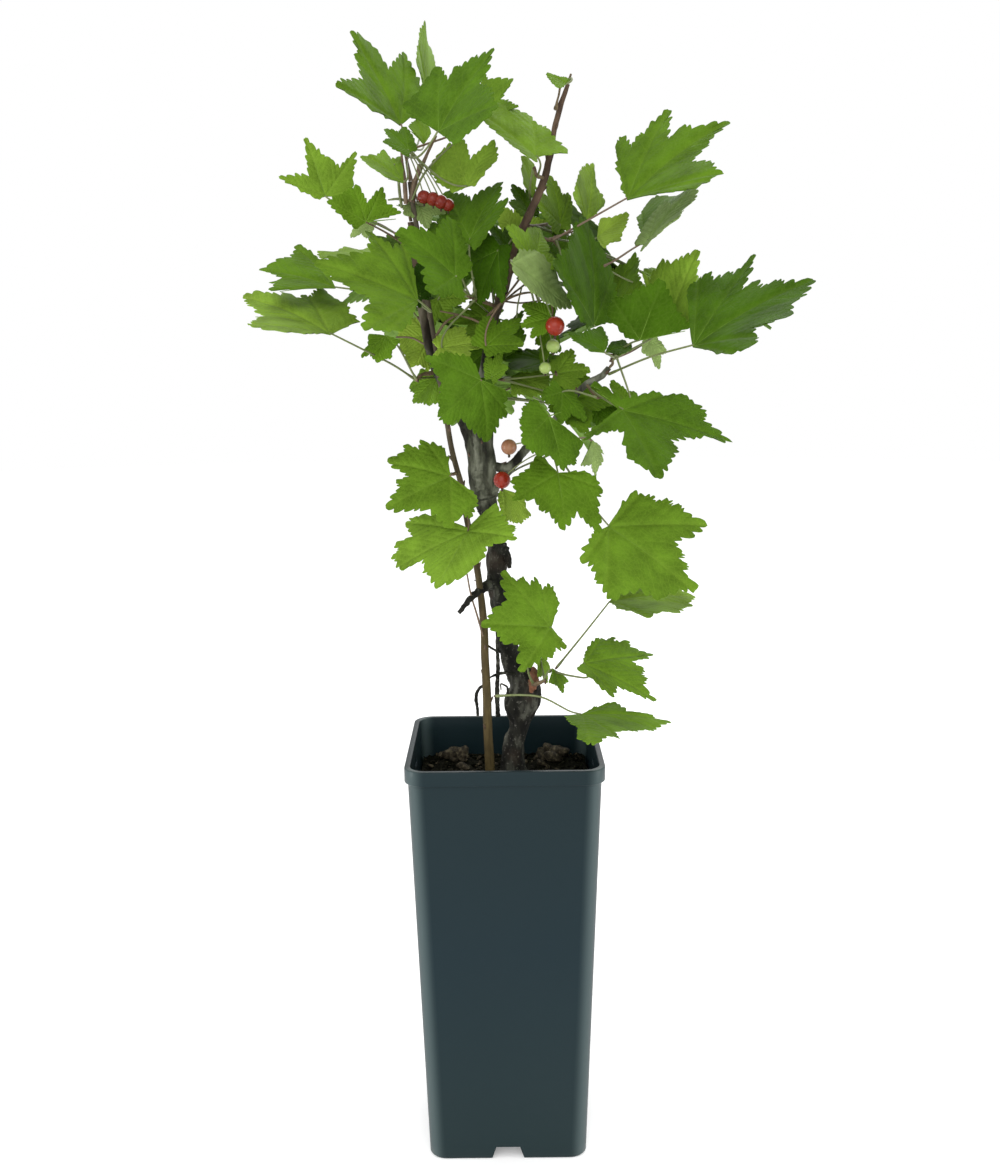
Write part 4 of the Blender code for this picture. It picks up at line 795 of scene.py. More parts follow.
def inside_outline(points, outline):
    """Which points of the drawing an outline holds: those with an odd number of its sides above."""
    x, y = points[:, :1], points[:, 1:]
    start = np.array(outline, float)
    end = np.roll(start, -1, axis=0)
    spans = (start[:, 0] > x) != (end[:, 0] > x)
    slope = (end[:, 1] - start[:, 1]) / np.where(end[:, 0] == start[:, 0], 1, end[:, 0] - start[:, 0])
    above = start[:, 1] + slope * (x - start[:, 0]) < y
    return (spans & above).sum(1) % 2 == 1


def covered_share(blade, front):
    """The share of a blade's points that show inside the dense part of the crown, or that the drawn
    leaves hide from the eye, allowing a little round their edges."""
    rays = unit(blade.samples - EYE)
    covered = inside_outline(drawn(blade.samples), DENSE)
    for cover in front:
        distance = ((cover.origin - EYE) @ cover.face) / (rays @ cover.face)
        u, v, _ = ((EYE + rays * distance[:, None] - cover.origin) @ cover.inverse).T
        covered |= np.hypot(u, v) < np.interp(np.arctan2(v, u), cover.knots, cover.radii) + 0.04
    return covered.mean()


def berry_stalks(plan, stem):
    """The stalks of a mass's berries: each sags from the stem's tip to its own berry."""
    stalks = []
    for across, down, depth, wide in plan.berries:
        ball = place((across, down), depth * MM)[0]
        start = stem.axis[-2]
        sag = np.array([0, 0, -0.15 * np.linalg.norm(ball - start)])
        path = curve(start, start + (ball - start) / 3 - sag, ball - (ball - start) / 4 + [0, 0, 0.004], ball, 7)
        stalks.append(SimpleNamespace(path=path, ball=ball, radius=wide * MM / 2))
    return stalks


def grow_far_side(blades, owners, solids, limbs):
    """Adds seeded leaves to the masses on the far side, each clear of all the others and where the
    front of the crown hides it."""
    dice = np.random.default_rng(SEED)
    front = list(blades)
    for name, (_, _, box, depths, count) in BACKS.items():
        kept = 0
        for _ in range(FAR_TRIES):
            blade = far_leaf(dice, box, depths, limbs)
            if (
                kept < count
                and abs(blade.samples[:, 1]).max() < DEEPEST
                and min((clearance(solid.probe, blade) - solid.thick).min() for solid in solids) > FAR_APART
                and min(blade_gap(blade, other, FAR_APART) for other in blades) >= FAR_APART
                and covered_share(blade, front) > COVERED
            ):
                blades.append(blade)
                owners.append(name)
                kept += 1


def grow():
    """The whole plant: limbs, and for each mass its stem, its leaves with stalks, and its berries."""
    limbs = {}
    for name in LIMBS:
        limbs[name] = limb(name, limbs)
    plans = dict(MASSES)
    for name, (host, stem, *_) in BACKS.items():
        plans[name] = mass(host, stem, ())
    stems = {name: stem_of(plan, limbs) for name, plan in plans.items()}
    solids = [*limbs.values(), *stems.values()]
    owners = [name for name, plan in MASSES.items() for _ in plan.leaves]
    blades = settle([item for plan in MASSES.values() for item in plan.leaves], solids)
    grow_far_side(blades, owners, solids, limbs)
    foliage, routes = {}, []
    for name, plan in plans.items():
        berries = berry_stalks(plan, stems[name])
        foliage[name] = SimpleNamespace(stem=stems[name], leaves=[], berries=berries)
        for fruit in berries:
            routes += [(name, fruit.path, BERRY_STALK), (name, fruit.ball[None], fruit.radius)]
    for k, (name, blade) in enumerate(zip(owners, blades)):
        rank = owners[:k].count(name) / max(owners.count(name) - 1, 1)
        stalk = stalk_of(
            stems[name],
            0.4 + 0.55 * rank,
            blade,
            [other for j, other in enumerate(blades) if j != k and owners[j] == name],
            [other for j, other in enumerate(blades) if owners[j] != name],
            [solid for solid in solids if solid is not stems[name]],
            [(route, radius) for owner, route, radius in routes if owner != name],
        )
        if stalk:
            routes.append((name, stalk.built, STALK_RADII[0]))
            foliage[name].leaves.append(SimpleNamespace(blade=blade, stalk=stalk))
    return limbs, foliage


# Looks of the foliage
BLADE_THICKNESS = 0.55 * MM
RIM_THICKNESS = 0.3 * MM
BLADE_SHARES = (0.07, 0.2, 0.36, 0.52, 0.67, 0.8, 0.91, 1.0)
TOOTH_WIDTH = 6.0 * MM
TOOTH_DEPTH = 2.8 * MM
TOOTH_STEPS = 6
TOOTH_SHAPE = np.array([0.0, 0.5, 0.8, 0.95, 1.0, 0.8])
TOOTH_LEAN = 0.4
LOBE_BULGE = 0.15
BASE_BULGE = 0.35
INSET = 0.5
DRAWN_BULGE = 0.35
FULL_SIZE = 56 * MM
BULGE_SCALE = 2.2
SHORT_BASE = (math.radians(118), 0.34)
NEWTON_STEPS = 14
NUDGE = 0.001
LONGEST_STEP = 0.2
FARTHEST = 1.3
LEAST_TURN = 0.02
MOST_TURN = 3.0
WAVE = 0.022
RUFFLE = 0.016
GROOVE = 0.016
GROOVE_WIDTH = 0.030
RIB_REACH = 0.9
RIB_RADII = (0.42 * MM, 0.22 * MM)
LEAF_SHEEN = 0.03
PETIOLE_RADII = (0.62 * MM, 0.45 * MM)
LOOKS_SEED = 7
REDDISH = 0.4

# The green of each drawn leaf, mass by mass, by its letter in the table of greens. The lighter and darker letters are
# partly the leaves' own tints and partly painted light: painted backlight on the bright ones, painted shade from
# inside the crown on the dark ones.
TINTS = {
    "crown_top_left": "dbbecabep",
    "left_upper": "bdp",
    "left_middle": "cdahy",
    "left_low": "adc",
    "centre_left": "eegybebdf",
    "centre_right": "bpdydbdee",
    "centre_low": "ecabdf",
    "trunk_left": "cb",
    "right_low": "edcpy",
    "base_right": "caccca",
    "right_middle": "fafffpc",
    "right_reach": "ee",
    "right_upper": "ddayfcp",
    "top_right": "ba",
    "leader_tip": "c",
}
# Greens for the far-side leaves, mostly the middle and darker letters: their own tints with painted shade for leaves
# inside the crown.
FAR_GREENS_AND_PAINTED_SHADE = "bcddefcde"

# Leaves whose edge is drawn corner by corner: lobe tips and sinuses by turns, as across,down
OUTLINES = {
    "crown_top_left": {
        0: "375,110 357,97 337,82 363,80 357,57 357,50 349,33 364,39 377,52 388,71 406,49 420,84 424,104",
        1: "385,177 368,165 361,155 377,155 384,150 391,160 400,157",
        2: "417,62 418,46 420,21 425,43 431,47 434,60 439,76",
        3: "403,107 419,92 439,66 448,80 457,66 461,66 473,56 476,57 493,47 479,83 500,106 484,121 456,143",
        4: "484,74 488,80 513,78 500,99 519,107",
        5: "455,192 440,184 429,170 441,152 464,139 470,160 494,139 496,152 497,159 486,170 476,184",
        6: "409,127 413,122 421,118 427,122 431,132",
    },
    "left_upper": {
        0: "318,199 297,187 279,176 309,176 305,138 321,154 331,159 340,168 355,151 353,178 349,196",
        1: "355,229 341,215 327,201 342,194 358,185 367,203 382,187 387,204 402,212",
    },
    "left_middle": {
        0: "404,329 385,330 364,327 371,298 355,292 349,288 316,261 371,252 369,228 393,249 405,243",
        1: "271,291 282,278 259,268 292,255 298,244 312,254 320,262",
        4: "418,318 408,319 398,328 399,338 400,350 405,355 409,367 420,365 429,371",
        2: "340,256 330,255 312,250 338,249 346,245 358,249 366,247",
    },
    "left_low": {
        0: "300,334 275,331 250,327 265,315 243,296 280,298 286,294 299,301 304,296 312,298 322,287 341,300 346,302 349,313 359,319",
        1: "369,334 368,345 361,357 370,354 378,363 384,359 391,358 392,350 400,341",
        2: "421,368 416,377 409,388 415,394 413,402 423,402 428,405 433,403 441,403",
    },
    "centre_low": {
        0: "470,357 460,356 447,353 437,356 425,356 441,383 438,415 444,420 450,424 461,418 487,442 499,419 "
        "507,416 503,404 512,394",
        2: "512,396 521,394 530,397 538,394 547,395 549,384 548,366",
    },
    "trunk_left": {
        0: "445,450 438,446 420,440 419,450 405,444 404,451 387,460 411,477 396,482 400,487 386,510 430,509 "
        "448,527 464,513 471,517 474,508 477,498",
        1: "496,503 505,520 513,529 512,533 517,538 486,547 483,559 466,575 437,587 430,576 424,570 424,559 "
        "402,572 397,562 393,557 401,551 397,547 413,537 405,524 413,518 427,515",
    },
    "right_low": {
        0: "536,400 528,403 523,408 522,416 520,420 523,432 521,441 530,450 540,456 549,455 563,470 568,465 "
        "575,464 576,459 584,443",
        1: "537,454 529,468 512,480 516,491 513,501 534,499 541,511 549,512 562,530 577,511 600,533 597,497 "
        "603,493 597,480 587,472",
        2: "595,534 589,544 581,561 595,564 596,577 603,584 611,599 640,589 660,600 680,589 695,591 683,571 685,566 679,558 "
        "682,553 675,541 709,523 684,511 680,505 671,507 669,501 654,504 655,496 645,496 634,491",
        3: "581,465 592,463 595,477 599,466 603,460 601,454 600,446",
        4: "498,494 499,504 504,520 512,521 522,523 524,519 531,515 526,508 524,497",
    },
    "base_right": {
        0: "558,600 554,590 549,583 543,589 536,578 530,585 521,578 517,582 501,572 507,600 482,624 497,632 "
        "503,641 519,645 521,672 541,658 553,656 556,648 567,648",
        1: "636,576 645,583 656,580 675,587 695,593 684,606 677,613 663,613 647,617 632,611 620,609",
        2: "586,654 591,645 598,638 606,640 613,637 614,643 629,640 631,645 654,654 632,661 644,669 641,674 646,680 643,685 "
        "655,702 617,686 613,697 593,679 577,669",
        3: "596,719 606,713 616,702 628,714 651,715 655,718 671,722 614,732 618,738 606,741 597,748 585,742 579,738 579,729 566,717",
        4: "569,681 564,684 563,693 557,686 549,682",
    },
    "right_middle": {
        0: "690,287 697,283 709,276 714,281 730,273 735,276 755,255 740,291 754,280 759,288 777,281 783,283 "
        "811,276 792,305 791,317 753,329 757,337 750,348 728,353",
        1: "641,273 650,279 661,261 672,264 699,250 694,284 698,320",
        2: "628,338 617,326 607,313 609,305 613,300 630,295 662,280 677,311 691,327",
        3: "590,351 583,346 567,331 583,333 600,328 606,335 608,344",
        4: "620,356 628,351 632,346 626,338 612,342",
    },
    "right_reach": {
        0: "594,381 621,400 657,392 671,396 685,394 695,403 705,412 704,420 732,443 704,437 690,437 670,440 "
        "675,449 668,465 659,474 640,464 628,455 625,431 612,430 603,432 583,441",
    },
    "right_upper": {
        0: "628,188 625,170 617,152 617,143 622,138 632,149 640,137 645,135 668,110 668,143 683,126 692,128 "
        "726,117 714,131 705,143 691,161 711,162 713,167 723,172 711,179 697,190",
        1: "637,217 640,212 648,200 660,196 693,189 685,199 675,211 663,224 653,234",
        2: "573,196 575,184 591,163 596,186 604,203",
        3: "601,218 612,218 628,213 622,232 619,241 610,243 604,248",
        4: "583,322 574,308 553,262 566,250 588,216 598,240 604,250 605,257 613,269 615,300 612,318",
        5: "608,268 613,271 621,263 626,264 636,252 638,274 642,288",
    },
    "centre_right": {
        1: "520,252 528,252 537,250 546,262 555,272 562,290 568,312 550,304 533,292 522,282 514,272",
    },
    "leader_tip": {
        0: "561,88 557,87 552,82 547,76 547,73 550,72 553,75 560,77 565,77 569,79 571,81",
    },
    "top_right": {
        0: "568,151 556,140 546,128 538,125 528,115 512,111 500,107 485,104 464,106 478,117 490,125 503,137 514,145 "
        "526,156 536,162",
        1: "525,186 522,172 522,156 531,160 537,172",
    },
}
# Small leaves behind the drawn ones, of the same masses
BEHIND = {
    "crown_top_left": (leaf((418, 204), (446, 212), (428, 228), (404, 215), depth=-2, pale=True),),
    "left_middle": (leaf((430, 336), (412, 317), (398, 338), (416, 364), depth=16),),
    "left_low": (leaf((438, 377), (421, 368), (409, 388), (413, 402), (428, 405), (441, 403), depth=14),),
    "centre_left": (
        leaf((494, 318), (472, 300), (450, 318), (470, 338), depth=26),
        leaf((530, 214), (510, 204), (512, 184), (532, 186), depth=14),
        leaf((508, 252), (486, 242), (490, 224), (510, 226), depth=16),
    ),
    "centre_right": (
        leaf((550, 332), (535, 342), (541, 364), (560, 350), depth=-8),
        leaf((562, 264), (542, 242), (556, 220), (578, 238), depth=18),
        leaf((548, 362), (524, 350), (496, 352), (516, 374), depth=22),
    ),
    "centre_low": (
        leaf((560, 398), (588, 376), (616, 398), (585, 432), depth=-4),
        leaf((592, 404), (604, 388), (626, 408), (604, 432), depth=8),
    ),
    "right_upper": (leaf((648, 240), (663, 204), (697, 187), (678, 218), depth=4, pale=True),),
}
# Leaf stalks as drawn, from the limb or stem on: across,down and the first point's depth in mm
PETIOLES = {
    "right_upper": {0: ("553,240 590,219", -4), 1: ("602,267 612,262 634,248", 8)},
    "right_middle": {
        0: ("609,374 650,357", -12),
        2: ("613,357 622,349 631,343", -14),
        5: ("613,359 630,352 642,345", -10),
    },
    "left_low": {0: ("416,380 395,366 362,349", 2)},
    "left_upper": {1: ("403,243 385,232", -2)},
    "base_right": {
        1: ("557,667 583,635", -22),
        2: ("552,671 572,676 588,677", -20),
        3: ("496,696 521,695 541,697 572,712", -18),
    },
}
REGIONS = {
    "top": ("crown_top_left", "top_right", "leader_tip", "back_top"),
    "left": ("left_upper", "left_middle", "left_low", "trunk_left"),
    "centre": ("centre_left", "centre_right", "centre_low"),
    "right": ("right_middle", "right_reach", "right_upper"),
    "low": ("right_low", "base_right", "back_base"),
    "back_left": ("back_left", "back_middle"),
    "back_right": ("back_right", "back_low"),
}
dice = np.random.default_rng(LOOKS_SEED)


# Surfaces


def ripples(places, wavelength, seed):
    """A smooth unevenness of about -1 to 1: the scaled mean of waves that run in random
    directions, with lengths near one wavelength."""
    waves = np.random.default_rng(seed)
    ways = unit(waves.normal(size=(20, 3))) * waves.uniform(0.7, 1.4, (20, 1)) * 2 * math.pi / wavelength
    return np.sin(places @ ways.T + waves.uniform(0, 2 * math.pi, 20)).mean(-1) * 2.4


def grid_quads(rows, columns, first=0):
    """Quads between neighbouring rows of closed rings of points."""
    at = first + np.arange(rows * columns).reshape(rows, columns)
    ahead = np.roll(at, -1, axis=1)
    return np.stack([at[:-1], ahead[:-1], ahead[1:], at[1:]], -1).reshape(-1, 4)


def fan(centre, ring):
    """Triangles from a centre to each side of a ring, as quads whose last corner repeats."""
    ahead = np.roll(ring, -1)
    hub = np.full(len(ring), centre)
    return np.stack([hub, ring, ahead, ahead], -1)


def surface(vertices, quads, slot=0, marks=None):
    """One surface for a piece: vertices, quads, each quad's material and each vertex's two marks,
    which become the piece's UV map."""
    marks = np.zeros((len(vertices), 2)) if marks is None else marks
    return SimpleNamespace(vertices=vertices, quads=quads, slot=np.broadcast_to(slot, len(quads)), marks=marks)


def limb_surface(path, radius, sides, slot=0, swell=None):
    """A round limb: rings of points square to a path, whose radius swell adds to, closed at both
    ends by fans. The marks are the turn round the limb and the way along it."""
    flow = unit(np.gradient(path, axis=0))
    steady = np.eye(3)[np.abs(flow).mean(0).argmin()]
    side = unit(steady - (flow @ steady)[:, None] * flow)
    other = np.cross(flow, side)
    turn = np.arange(sides) * 2 * math.pi / sides
    out = np.cos(turn)[None, :, None] * side[:, None] + np.sin(turn)[None, :, None] * other[:, None]
    wide = np.broadcast_to(np.reshape(radius, (-1, 1)), (len(path), sides))
    if swell is not None:
        wide = wide + swell(path[:, None] + wide[..., None] * out, wide)
    rings = path[:, None] + wide[..., None] * out
    count = len(path) * sides
    at = np.arange(count).reshape(len(path), sides)
    quads = np.vstack([grid_quads(len(path), sides), fan(count, at[0][::-1]), fan(count + 1, at[-1])])
    reach = np.r_[0, np.cumsum(np.linalg.norm(np.diff(path, axis=0), axis=1))]
    marks = np.stack(np.broadcast_arrays(turn[None] / (2 * math.pi), reach[:, None]), -1).reshape(-1, 2)
    marks = np.vstack([marks, [[0, 0], [0, reach[-1]]]])
    return surface(np.vstack([rings.reshape(-1, 3), path[:1], path[-1:]]), quads, slot, marks)


def round_surface(centre, half, rows, columns, slot=0, uneven=0.0, seed=0, axes=None):
    """A rounded lump: rings between two poles, scaled to its half sizes along its axes, with an
    unevenness that moves each point out or in."""
    lift = np.linspace(-math.pi / 2, math.pi / 2, rows + 2)[1:-1, None]
    turn = np.arange(columns)[None] * 2 * math.pi / columns
    ball = np.stack(
        np.broadcast_arrays(np.cos(lift) * np.cos(turn), np.cos(lift) * np.sin(turn), np.sin(lift)), -1
    ).reshape(-1, 3)
    ball = np.vstack([ball, [[0, 0, -1], [0, 0, 1]]])
    if uneven:
        ball = ball * (1 + uneven * ripples(ball + seed * 7.1, 1.3, seed))[:, None]
    axes = np.eye(3) if axes is None else axes
    count = rows * columns
    at = np.arange(count).reshape(rows, columns)
    quads = np.vstack([grid_quads(rows, columns), fan(count, at[0][::-1]), fan(count + 1, at[-1])])
    return surface(centre + (ball * half) @ axes, quads, slot, ball[:, :2])


def piece(name, surfaces, materials, sharp=50.0):
    """One object of the part from its surfaces, joined, smooth except across sharp corners."""
    starts = np.cumsum([0] + [len(part.vertices) for part in surfaces])
    vertices = np.vstack([part.vertices for part in surfaces]) + shift
    quads = np.vstack([part.quads + start for part, start in zip(surfaces, starts)])
    marks = np.vstack([part.marks for part in surfaces])
    slots = np.concatenate([part.slot for part in surfaces])
    sides = 4 - (quads[:, 2] == quads[:, 3]).astype(int)
    corners = quads[np.arange(4) < sides[:, None]]
    mesh = bpy.data.meshes.new(name)
    mesh.vertices.add(len(vertices))
    mesh.vertices.foreach_set("co", vertices.ravel())
    mesh.loops.add(len(corners))
    mesh.loops.foreach_set("vertex_index", corners)
    mesh.polygons.add(len(quads))
    mesh.polygons.foreach_set("loop_start", np.r_[0, np.cumsum(sides)[:-1]])
    mesh.polygons.foreach_set("material_index", slots.astype(np.int32))
    for material in materials:
        mesh.materials.append(material)
    mesh.uv_layers.new(name="marks").data.foreach_set("uv", marks[corners].ravel())
    mesh.update(calc_edges=True)
    mesh.shade_smooth()
    mesh.set_sharp_from_angle(angle=math.radians(sharp))
    thing = bpy.data.objects.new(name, mesh)
    bpy.context.scene.collection.objects.link(thing)
    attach(thing, "root")
    return thing


# Leaves, stalks and fruit


def on_surface(blade, spots):
    """Where points of the drawing lie on a blade, as (u, v) in leaf lengths: from where they lie on
    its plane, Newton's steps to where its relief puts them."""
    ends = np.stack([blade.origin, blade.origin + blade.along, blade.origin + blade.across])
    origin, along, across = drawn(ends)
    spots = np.asarray(spots, float)
    uv = np.linalg.solve(np.stack([along - origin, across - origin], 1), (spots - origin).T).T
    for _ in range(NEWTON_STEPS):
        here = drawn(on_blade(blade, *uv.T))
        beside = [drawn(on_blade(blade, *(uv + nudge).T)) for nudge in NUDGE * np.eye(2)]
        slopes = np.stack([(there - here) / NUDGE for there in beside], -1)
        move = np.linalg.solve(slopes, (spots - here)[..., None])[..., 0]
        size = np.linalg.norm(move, axis=1, keepdims=True)
        uv = uv + move * np.minimum(1, LONGEST_STEP / np.maximum(size, NUDGE))
    return uv * np.minimum(1, FARTHEST / np.linalg.norm(uv, axis=1, keepdims=True))


def in_turn(uv):
    """Corners put in order of their angle from the midrib, as angles and radii, with a little
    room between each two."""
    angles = np.unwrap(np.arctan2(uv[:, 1], uv[:, 0]))
    if angles[0] > angles[-1]:
        uv, angles = uv[::-1], angles[::-1]
    angles = angles.copy()
    for k in range(1, len(angles)):
        angles[k] = max(angles[k], angles[k - 1] + LEAST_TURN)
    return angles, np.hypot(*uv.T)


def corners_of(blade, outline):
    """A blade's corners as angles and radii: the notch, then lobe tips and sinuses by turns, and
    the notch again. They come from the leaf's own outline where it has one, and else from its
    lobes' tips as drawn, with the usual sinuses."""
    if outline:
        angles, radii = in_turn(on_surface(blade, outline))
        notch = (angles[0] + angles[-1]) / 2 - math.pi
        depth = np.interp(angles[0] - notch, (0.5, 1.2), (NOTCH, 0.01))
        return np.r_[notch, angles, notch + 2 * math.pi], np.r_[depth, radii, depth]
    if blade.far or len(blade.item.lobes) == 2:
        return blade.knots[::2], blade.radii[::2]
    lobes = blade.item.lobes
    if len(lobes) == 4:
        lobes = lobes[1:] if np.allclose(lobes[2], longest(blade.item)) else lobes[:3]
    tips, reach = in_turn(on_surface(blade, lobes))
    if len(tips) == 3:
        tips = np.r_[-SHORT_BASE[0], tips, SHORT_BASE[0]]
        tips[0], tips[-1] = min(tips[0], tips[1] - 0.4), max(tips[-1], tips[-2] + 0.4)
        reach = np.r_[SHORT_BASE[1], reach, SHORT_BASE[1]]
    knots, radii = edge_of(tips, reach)
    return knots[::2], radii[::2]


def veins_of(blade):
    """The angles of a blade's main veins: those of its lobes, as drawn where it has a drawing."""
    if blade.far:
        return blade.knots[2:-2:4]
    return in_turn(on_surface(blade, blade.item.lobes))[0]


def drawn_petiole(blade, text, depth):
    """A leaf's stalk through drawn points, whose depths run from the first one's to the leaf's."""
    spots = spots_of(text)
    depths = np.linspace(depth * MM, blade.origin[1], len(spots) + 1)[:-1]
    return SimpleNamespace(path=smooth_path(np.vstack([place(spots, depths), blade.origin]), 17))


def spots_of(text):
    """Drawn points written as across,down with spaces between them."""
    return [tuple(map(float, pair.split(","))) for pair in text.split()]


def outline_of(name, k):
    """The drawn corners of a mass's leaf, or nothing."""
    return spots_of(OUTLINES.get(name, {}).get(k, ""))


def longest(item):
    """The drawn lobe tip that is farthest from a leaf's stalk."""
    return max(item.lobes, key=lambda tip: math.dist(tip, item.base))


def rim_of(blade, angles, radii, inset=0.0, bulge=1.0):
    """A blade's edge in leaf lengths: between each two of its corners a side that bulges outwards,
    most near the sinus, with teeth that rise towards the lobe's tip and drop behind it, set in by a
    share of their depth. Returns the smooth edge and the teeth's offsets."""
    corners = radii[:, None] * np.stack([np.cos(angles), np.sin(angles)], 1)
    smooth, teeth = [], []
    for k in range(len(corners) - 1):
        start, end = corners[k], corners[k + 1]
        run = np.linalg.norm(end - start)
        outwards = np.array([end[1] - start[1], start[0] - end[0]]) / run
        size = min(blade.length / FULL_SIZE, 1.0)
        count = max(2, round(run * blade.length / (TOOTH_WIDTH * size**0.6)))
        steps = np.arange(count * TOOTH_STEPS)
        bounds = np.linspace(0, 1, count + 1)
        bounds[1:-1] += dice.uniform(-0.25, 0.25, count - 1) / count
        t = np.interp(steps / TOOTH_STEPS, np.arange(count + 1), bounds)
        height = TOOTH_SHAPE[steps % TOOTH_STEPS] * dice.uniform(0.55, 1.4, count)[steps // TOOTH_STEPS]
        way = (end - start) / run
        if k % 2:
            height = np.roll(height[::-1], 1)
            way = -way
        tipward = t if k % 2 == 0 else 1 - t
        fade = np.clip(tipward / 0.2, 0.25, 1) * np.clip((1 - tipward) / 0.08, 0, 1)
        at_base = k in (0, len(corners) - 2)
        if at_base:
            fade = fade * np.clip((tipward - 0.3) / 0.3, 0, 1)
        swell = (1 - tipward) ** 1.3 * tipward**0.8 * BULGE_SCALE * (BASE_BULGE if at_base else 1)
        smooth.append(start + t[:, None] * (end - start) + (LOBE_BULGE * bulge * run * swell)[:, None] * outwards)
        depth = TOOTH_DEPTH * size / blade.length
        teeth.append((depth * (height - inset) * fade)[:, None] * (outwards + TOOTH_LEAN * way))
    return np.vstack(smooth), np.vstack(teeth)


def lobe_marks(blade, u, v):
    """For places on a blade, the way along the nearest lobe's vein and the way off it."""
    lobes = blade.veins
    turn, reach = np.arctan2(v, u)[..., None], np.hypot(u, v)
    off = np.abs((turn - lobes + math.pi) % (2 * math.pi) - math.pi).min(-1)
    return reach * np.cos(off), reach * np.sin(off)


def leaf_height(blade, u, v, phases):
    """A leaf's height over its plane, in leaf lengths: its fold and droop, slow waves round it, a
    ruffled edge, and a groove along each lobe's vein."""
    turn, reach = np.arctan2(v, u), np.hypot(u, v)
    _, off = lobe_marks(blade, u, v)
    waves = WAVE * np.sin(3 * turn + phases[0]) * reach**2
    ruffle = RUFFLE * np.sin(13 * turn + phases[1]) * reach**4
    return relief(u, v) + waves + ruffle - GROOVE * np.exp(-((off / GROOVE_WIDTH) ** 2)) * (reach < 0.98)


def leaf_surfaces(blade, tint, outline=None):
    """A leaf: rings of its toothed edge that shrink towards the stalk, as an upper and a lower skin
    joined at the rim, and a tapering rib along each lobe's vein."""
    angles, radii = corners_of(blade, outline)
    blade.veins = veins_of(blade)
    smooth, teeth = rim_of(blade, angles, radii, *((INSET, DRAWN_BULGE) if outline else ()))
    share = np.array(BLADE_SHARES)[:, None, None]
    flat = share * smooth + share**5 * teeth
    rings, columns = flat.shape[:2]
    u, v = np.r_[0.0, flat[..., 0].ravel()], np.r_[0.0, flat[..., 1].ravel()]
    phases = dice.uniform(0, 2 * math.pi, 2)
    height = leaf_height(blade, u, v, phases)
    thick = np.full(len(u), BLADE_THICKNESS)
    thick[-columns:] = RIM_THICKNESS
    upper = raised(blade, u, v, height + thick / 2 / blade.length)
    lower = raised(blade, u, v, height - thick / 2 / blade.length)
    count = len(u)
    top = np.vstack([grid_quads(rings, columns, 1)[:, [0, 3, 2, 1]], fan(0, np.arange(1, columns + 1))])
    under = top[:, [0, 3, 2, 1]] + count
    under[top[:, 2] == top[:, 3]] = fan(0, np.arange(1, columns + 1))[:, [0, 2, 1, 1]] + count
    rim = np.arange(count - columns, count)
    ahead = np.roll(rim, -1)
    side = np.stack([rim, rim + count, ahead + count, ahead], -1)
    seen_above = (EYE - blade.samples.mean(0)) @ blade.face > 0
    upper_tint, lower_tint = tint, UNDERSIDE
    if not blade.far and not seen_above and tint != PALE:
        upper_tint, lower_tint = UNDERSIDE, tint
    slots = np.repeat([upper_tint, lower_tint, upper_tint], [len(top), len(under), len(side)])
    marks = np.stack(lobe_marks(blade, u, v), -1)
    skin = surface(np.vstack([upper, lower]), np.vstack([top, under, side]), slots, np.tile(marks, (2, 1)))
    ribs = []
    for turn in blade.veins:
        reach = np.interp(turn, angles, radii, period=2 * math.pi)
        way = np.linspace(0.0, RIB_REACH * reach, 12)
        ru, rv = way * math.cos(turn), way * math.sin(turn)
        path = raised(blade, ru, rv, leaf_height(blade, ru, rv, phases))
        size = np.interp(way / way[-1], [0, 1], RIB_RADII) * (1.0 if abs(turn) < 0.1 else 0.85)
        ribs.append(limb_surface(path, size, 5, VEIN))
    return [skin, *ribs]


def even_path(path, count):
    """count places on a smooth curve through a path."""
    return smooth_path(path, count)


def twig_surfaces(item, green=()):
    """A mass's stem and its leaves' stalks, each with a bud where it springs."""
    parts = []
    stem = np.c_[item.stem.axis, item.stem.radius]
    fine = smooth_path(stem, 30)
    parts.append(limb_surface(fine[:, :3], fine[:, 3] * 0.8, 8, TWIG, knobs(0.12, 5 * MM, 3)))
    for k, grown in enumerate(item.leaves):
        path = grown.stalk.path
        radius = np.linspace(*PETIOLE_RADII, len(path))
        radius[:2] *= 1.35
        kind = PETIOLE_RED if dice.random() < REDDISH and k not in green else PETIOLE
        parts.append(limb_surface(path, radius, 7, kind))
        bud = path[0] + (path[1] - path[0]) * 0.25
        lean = unit(path[2] - path[0])
        parts.append(bud_surface(bud, lean, 1.0 * MM, 2.4 * MM))
    for fruit in item.berries:
        parts.append(limb_surface(smooth_path(fruit.path, 16), 0.38 * MM, 6, PETIOLE))
    return parts


def bud_surface(base, way, wide, long):
    """A pointed bud that leans along a way: a lump whose rings narrow towards its tip."""
    side = unit(np.cross(way, [0.3, 0.1, 0.9]))
    axes = np.stack([side, np.cross(way, side), way])
    bud = round_surface(np.zeros(3), np.ones(3), 5, 7, BUD)
    lift = bud.vertices[:, 2:] / 2 + 0.5
    bud.vertices[:, :2] *= 1 - 0.55 * lift
    bud.vertices = base + (bud.vertices * [wide, wide, long]) @ axes
    return bud


def knobs(share, wavelength, seed):
    """A swelling for a limb: an unevenness that is a share of its radius."""
    return lambda places, wide: wide * share * ripples(places, wavelength, seed)


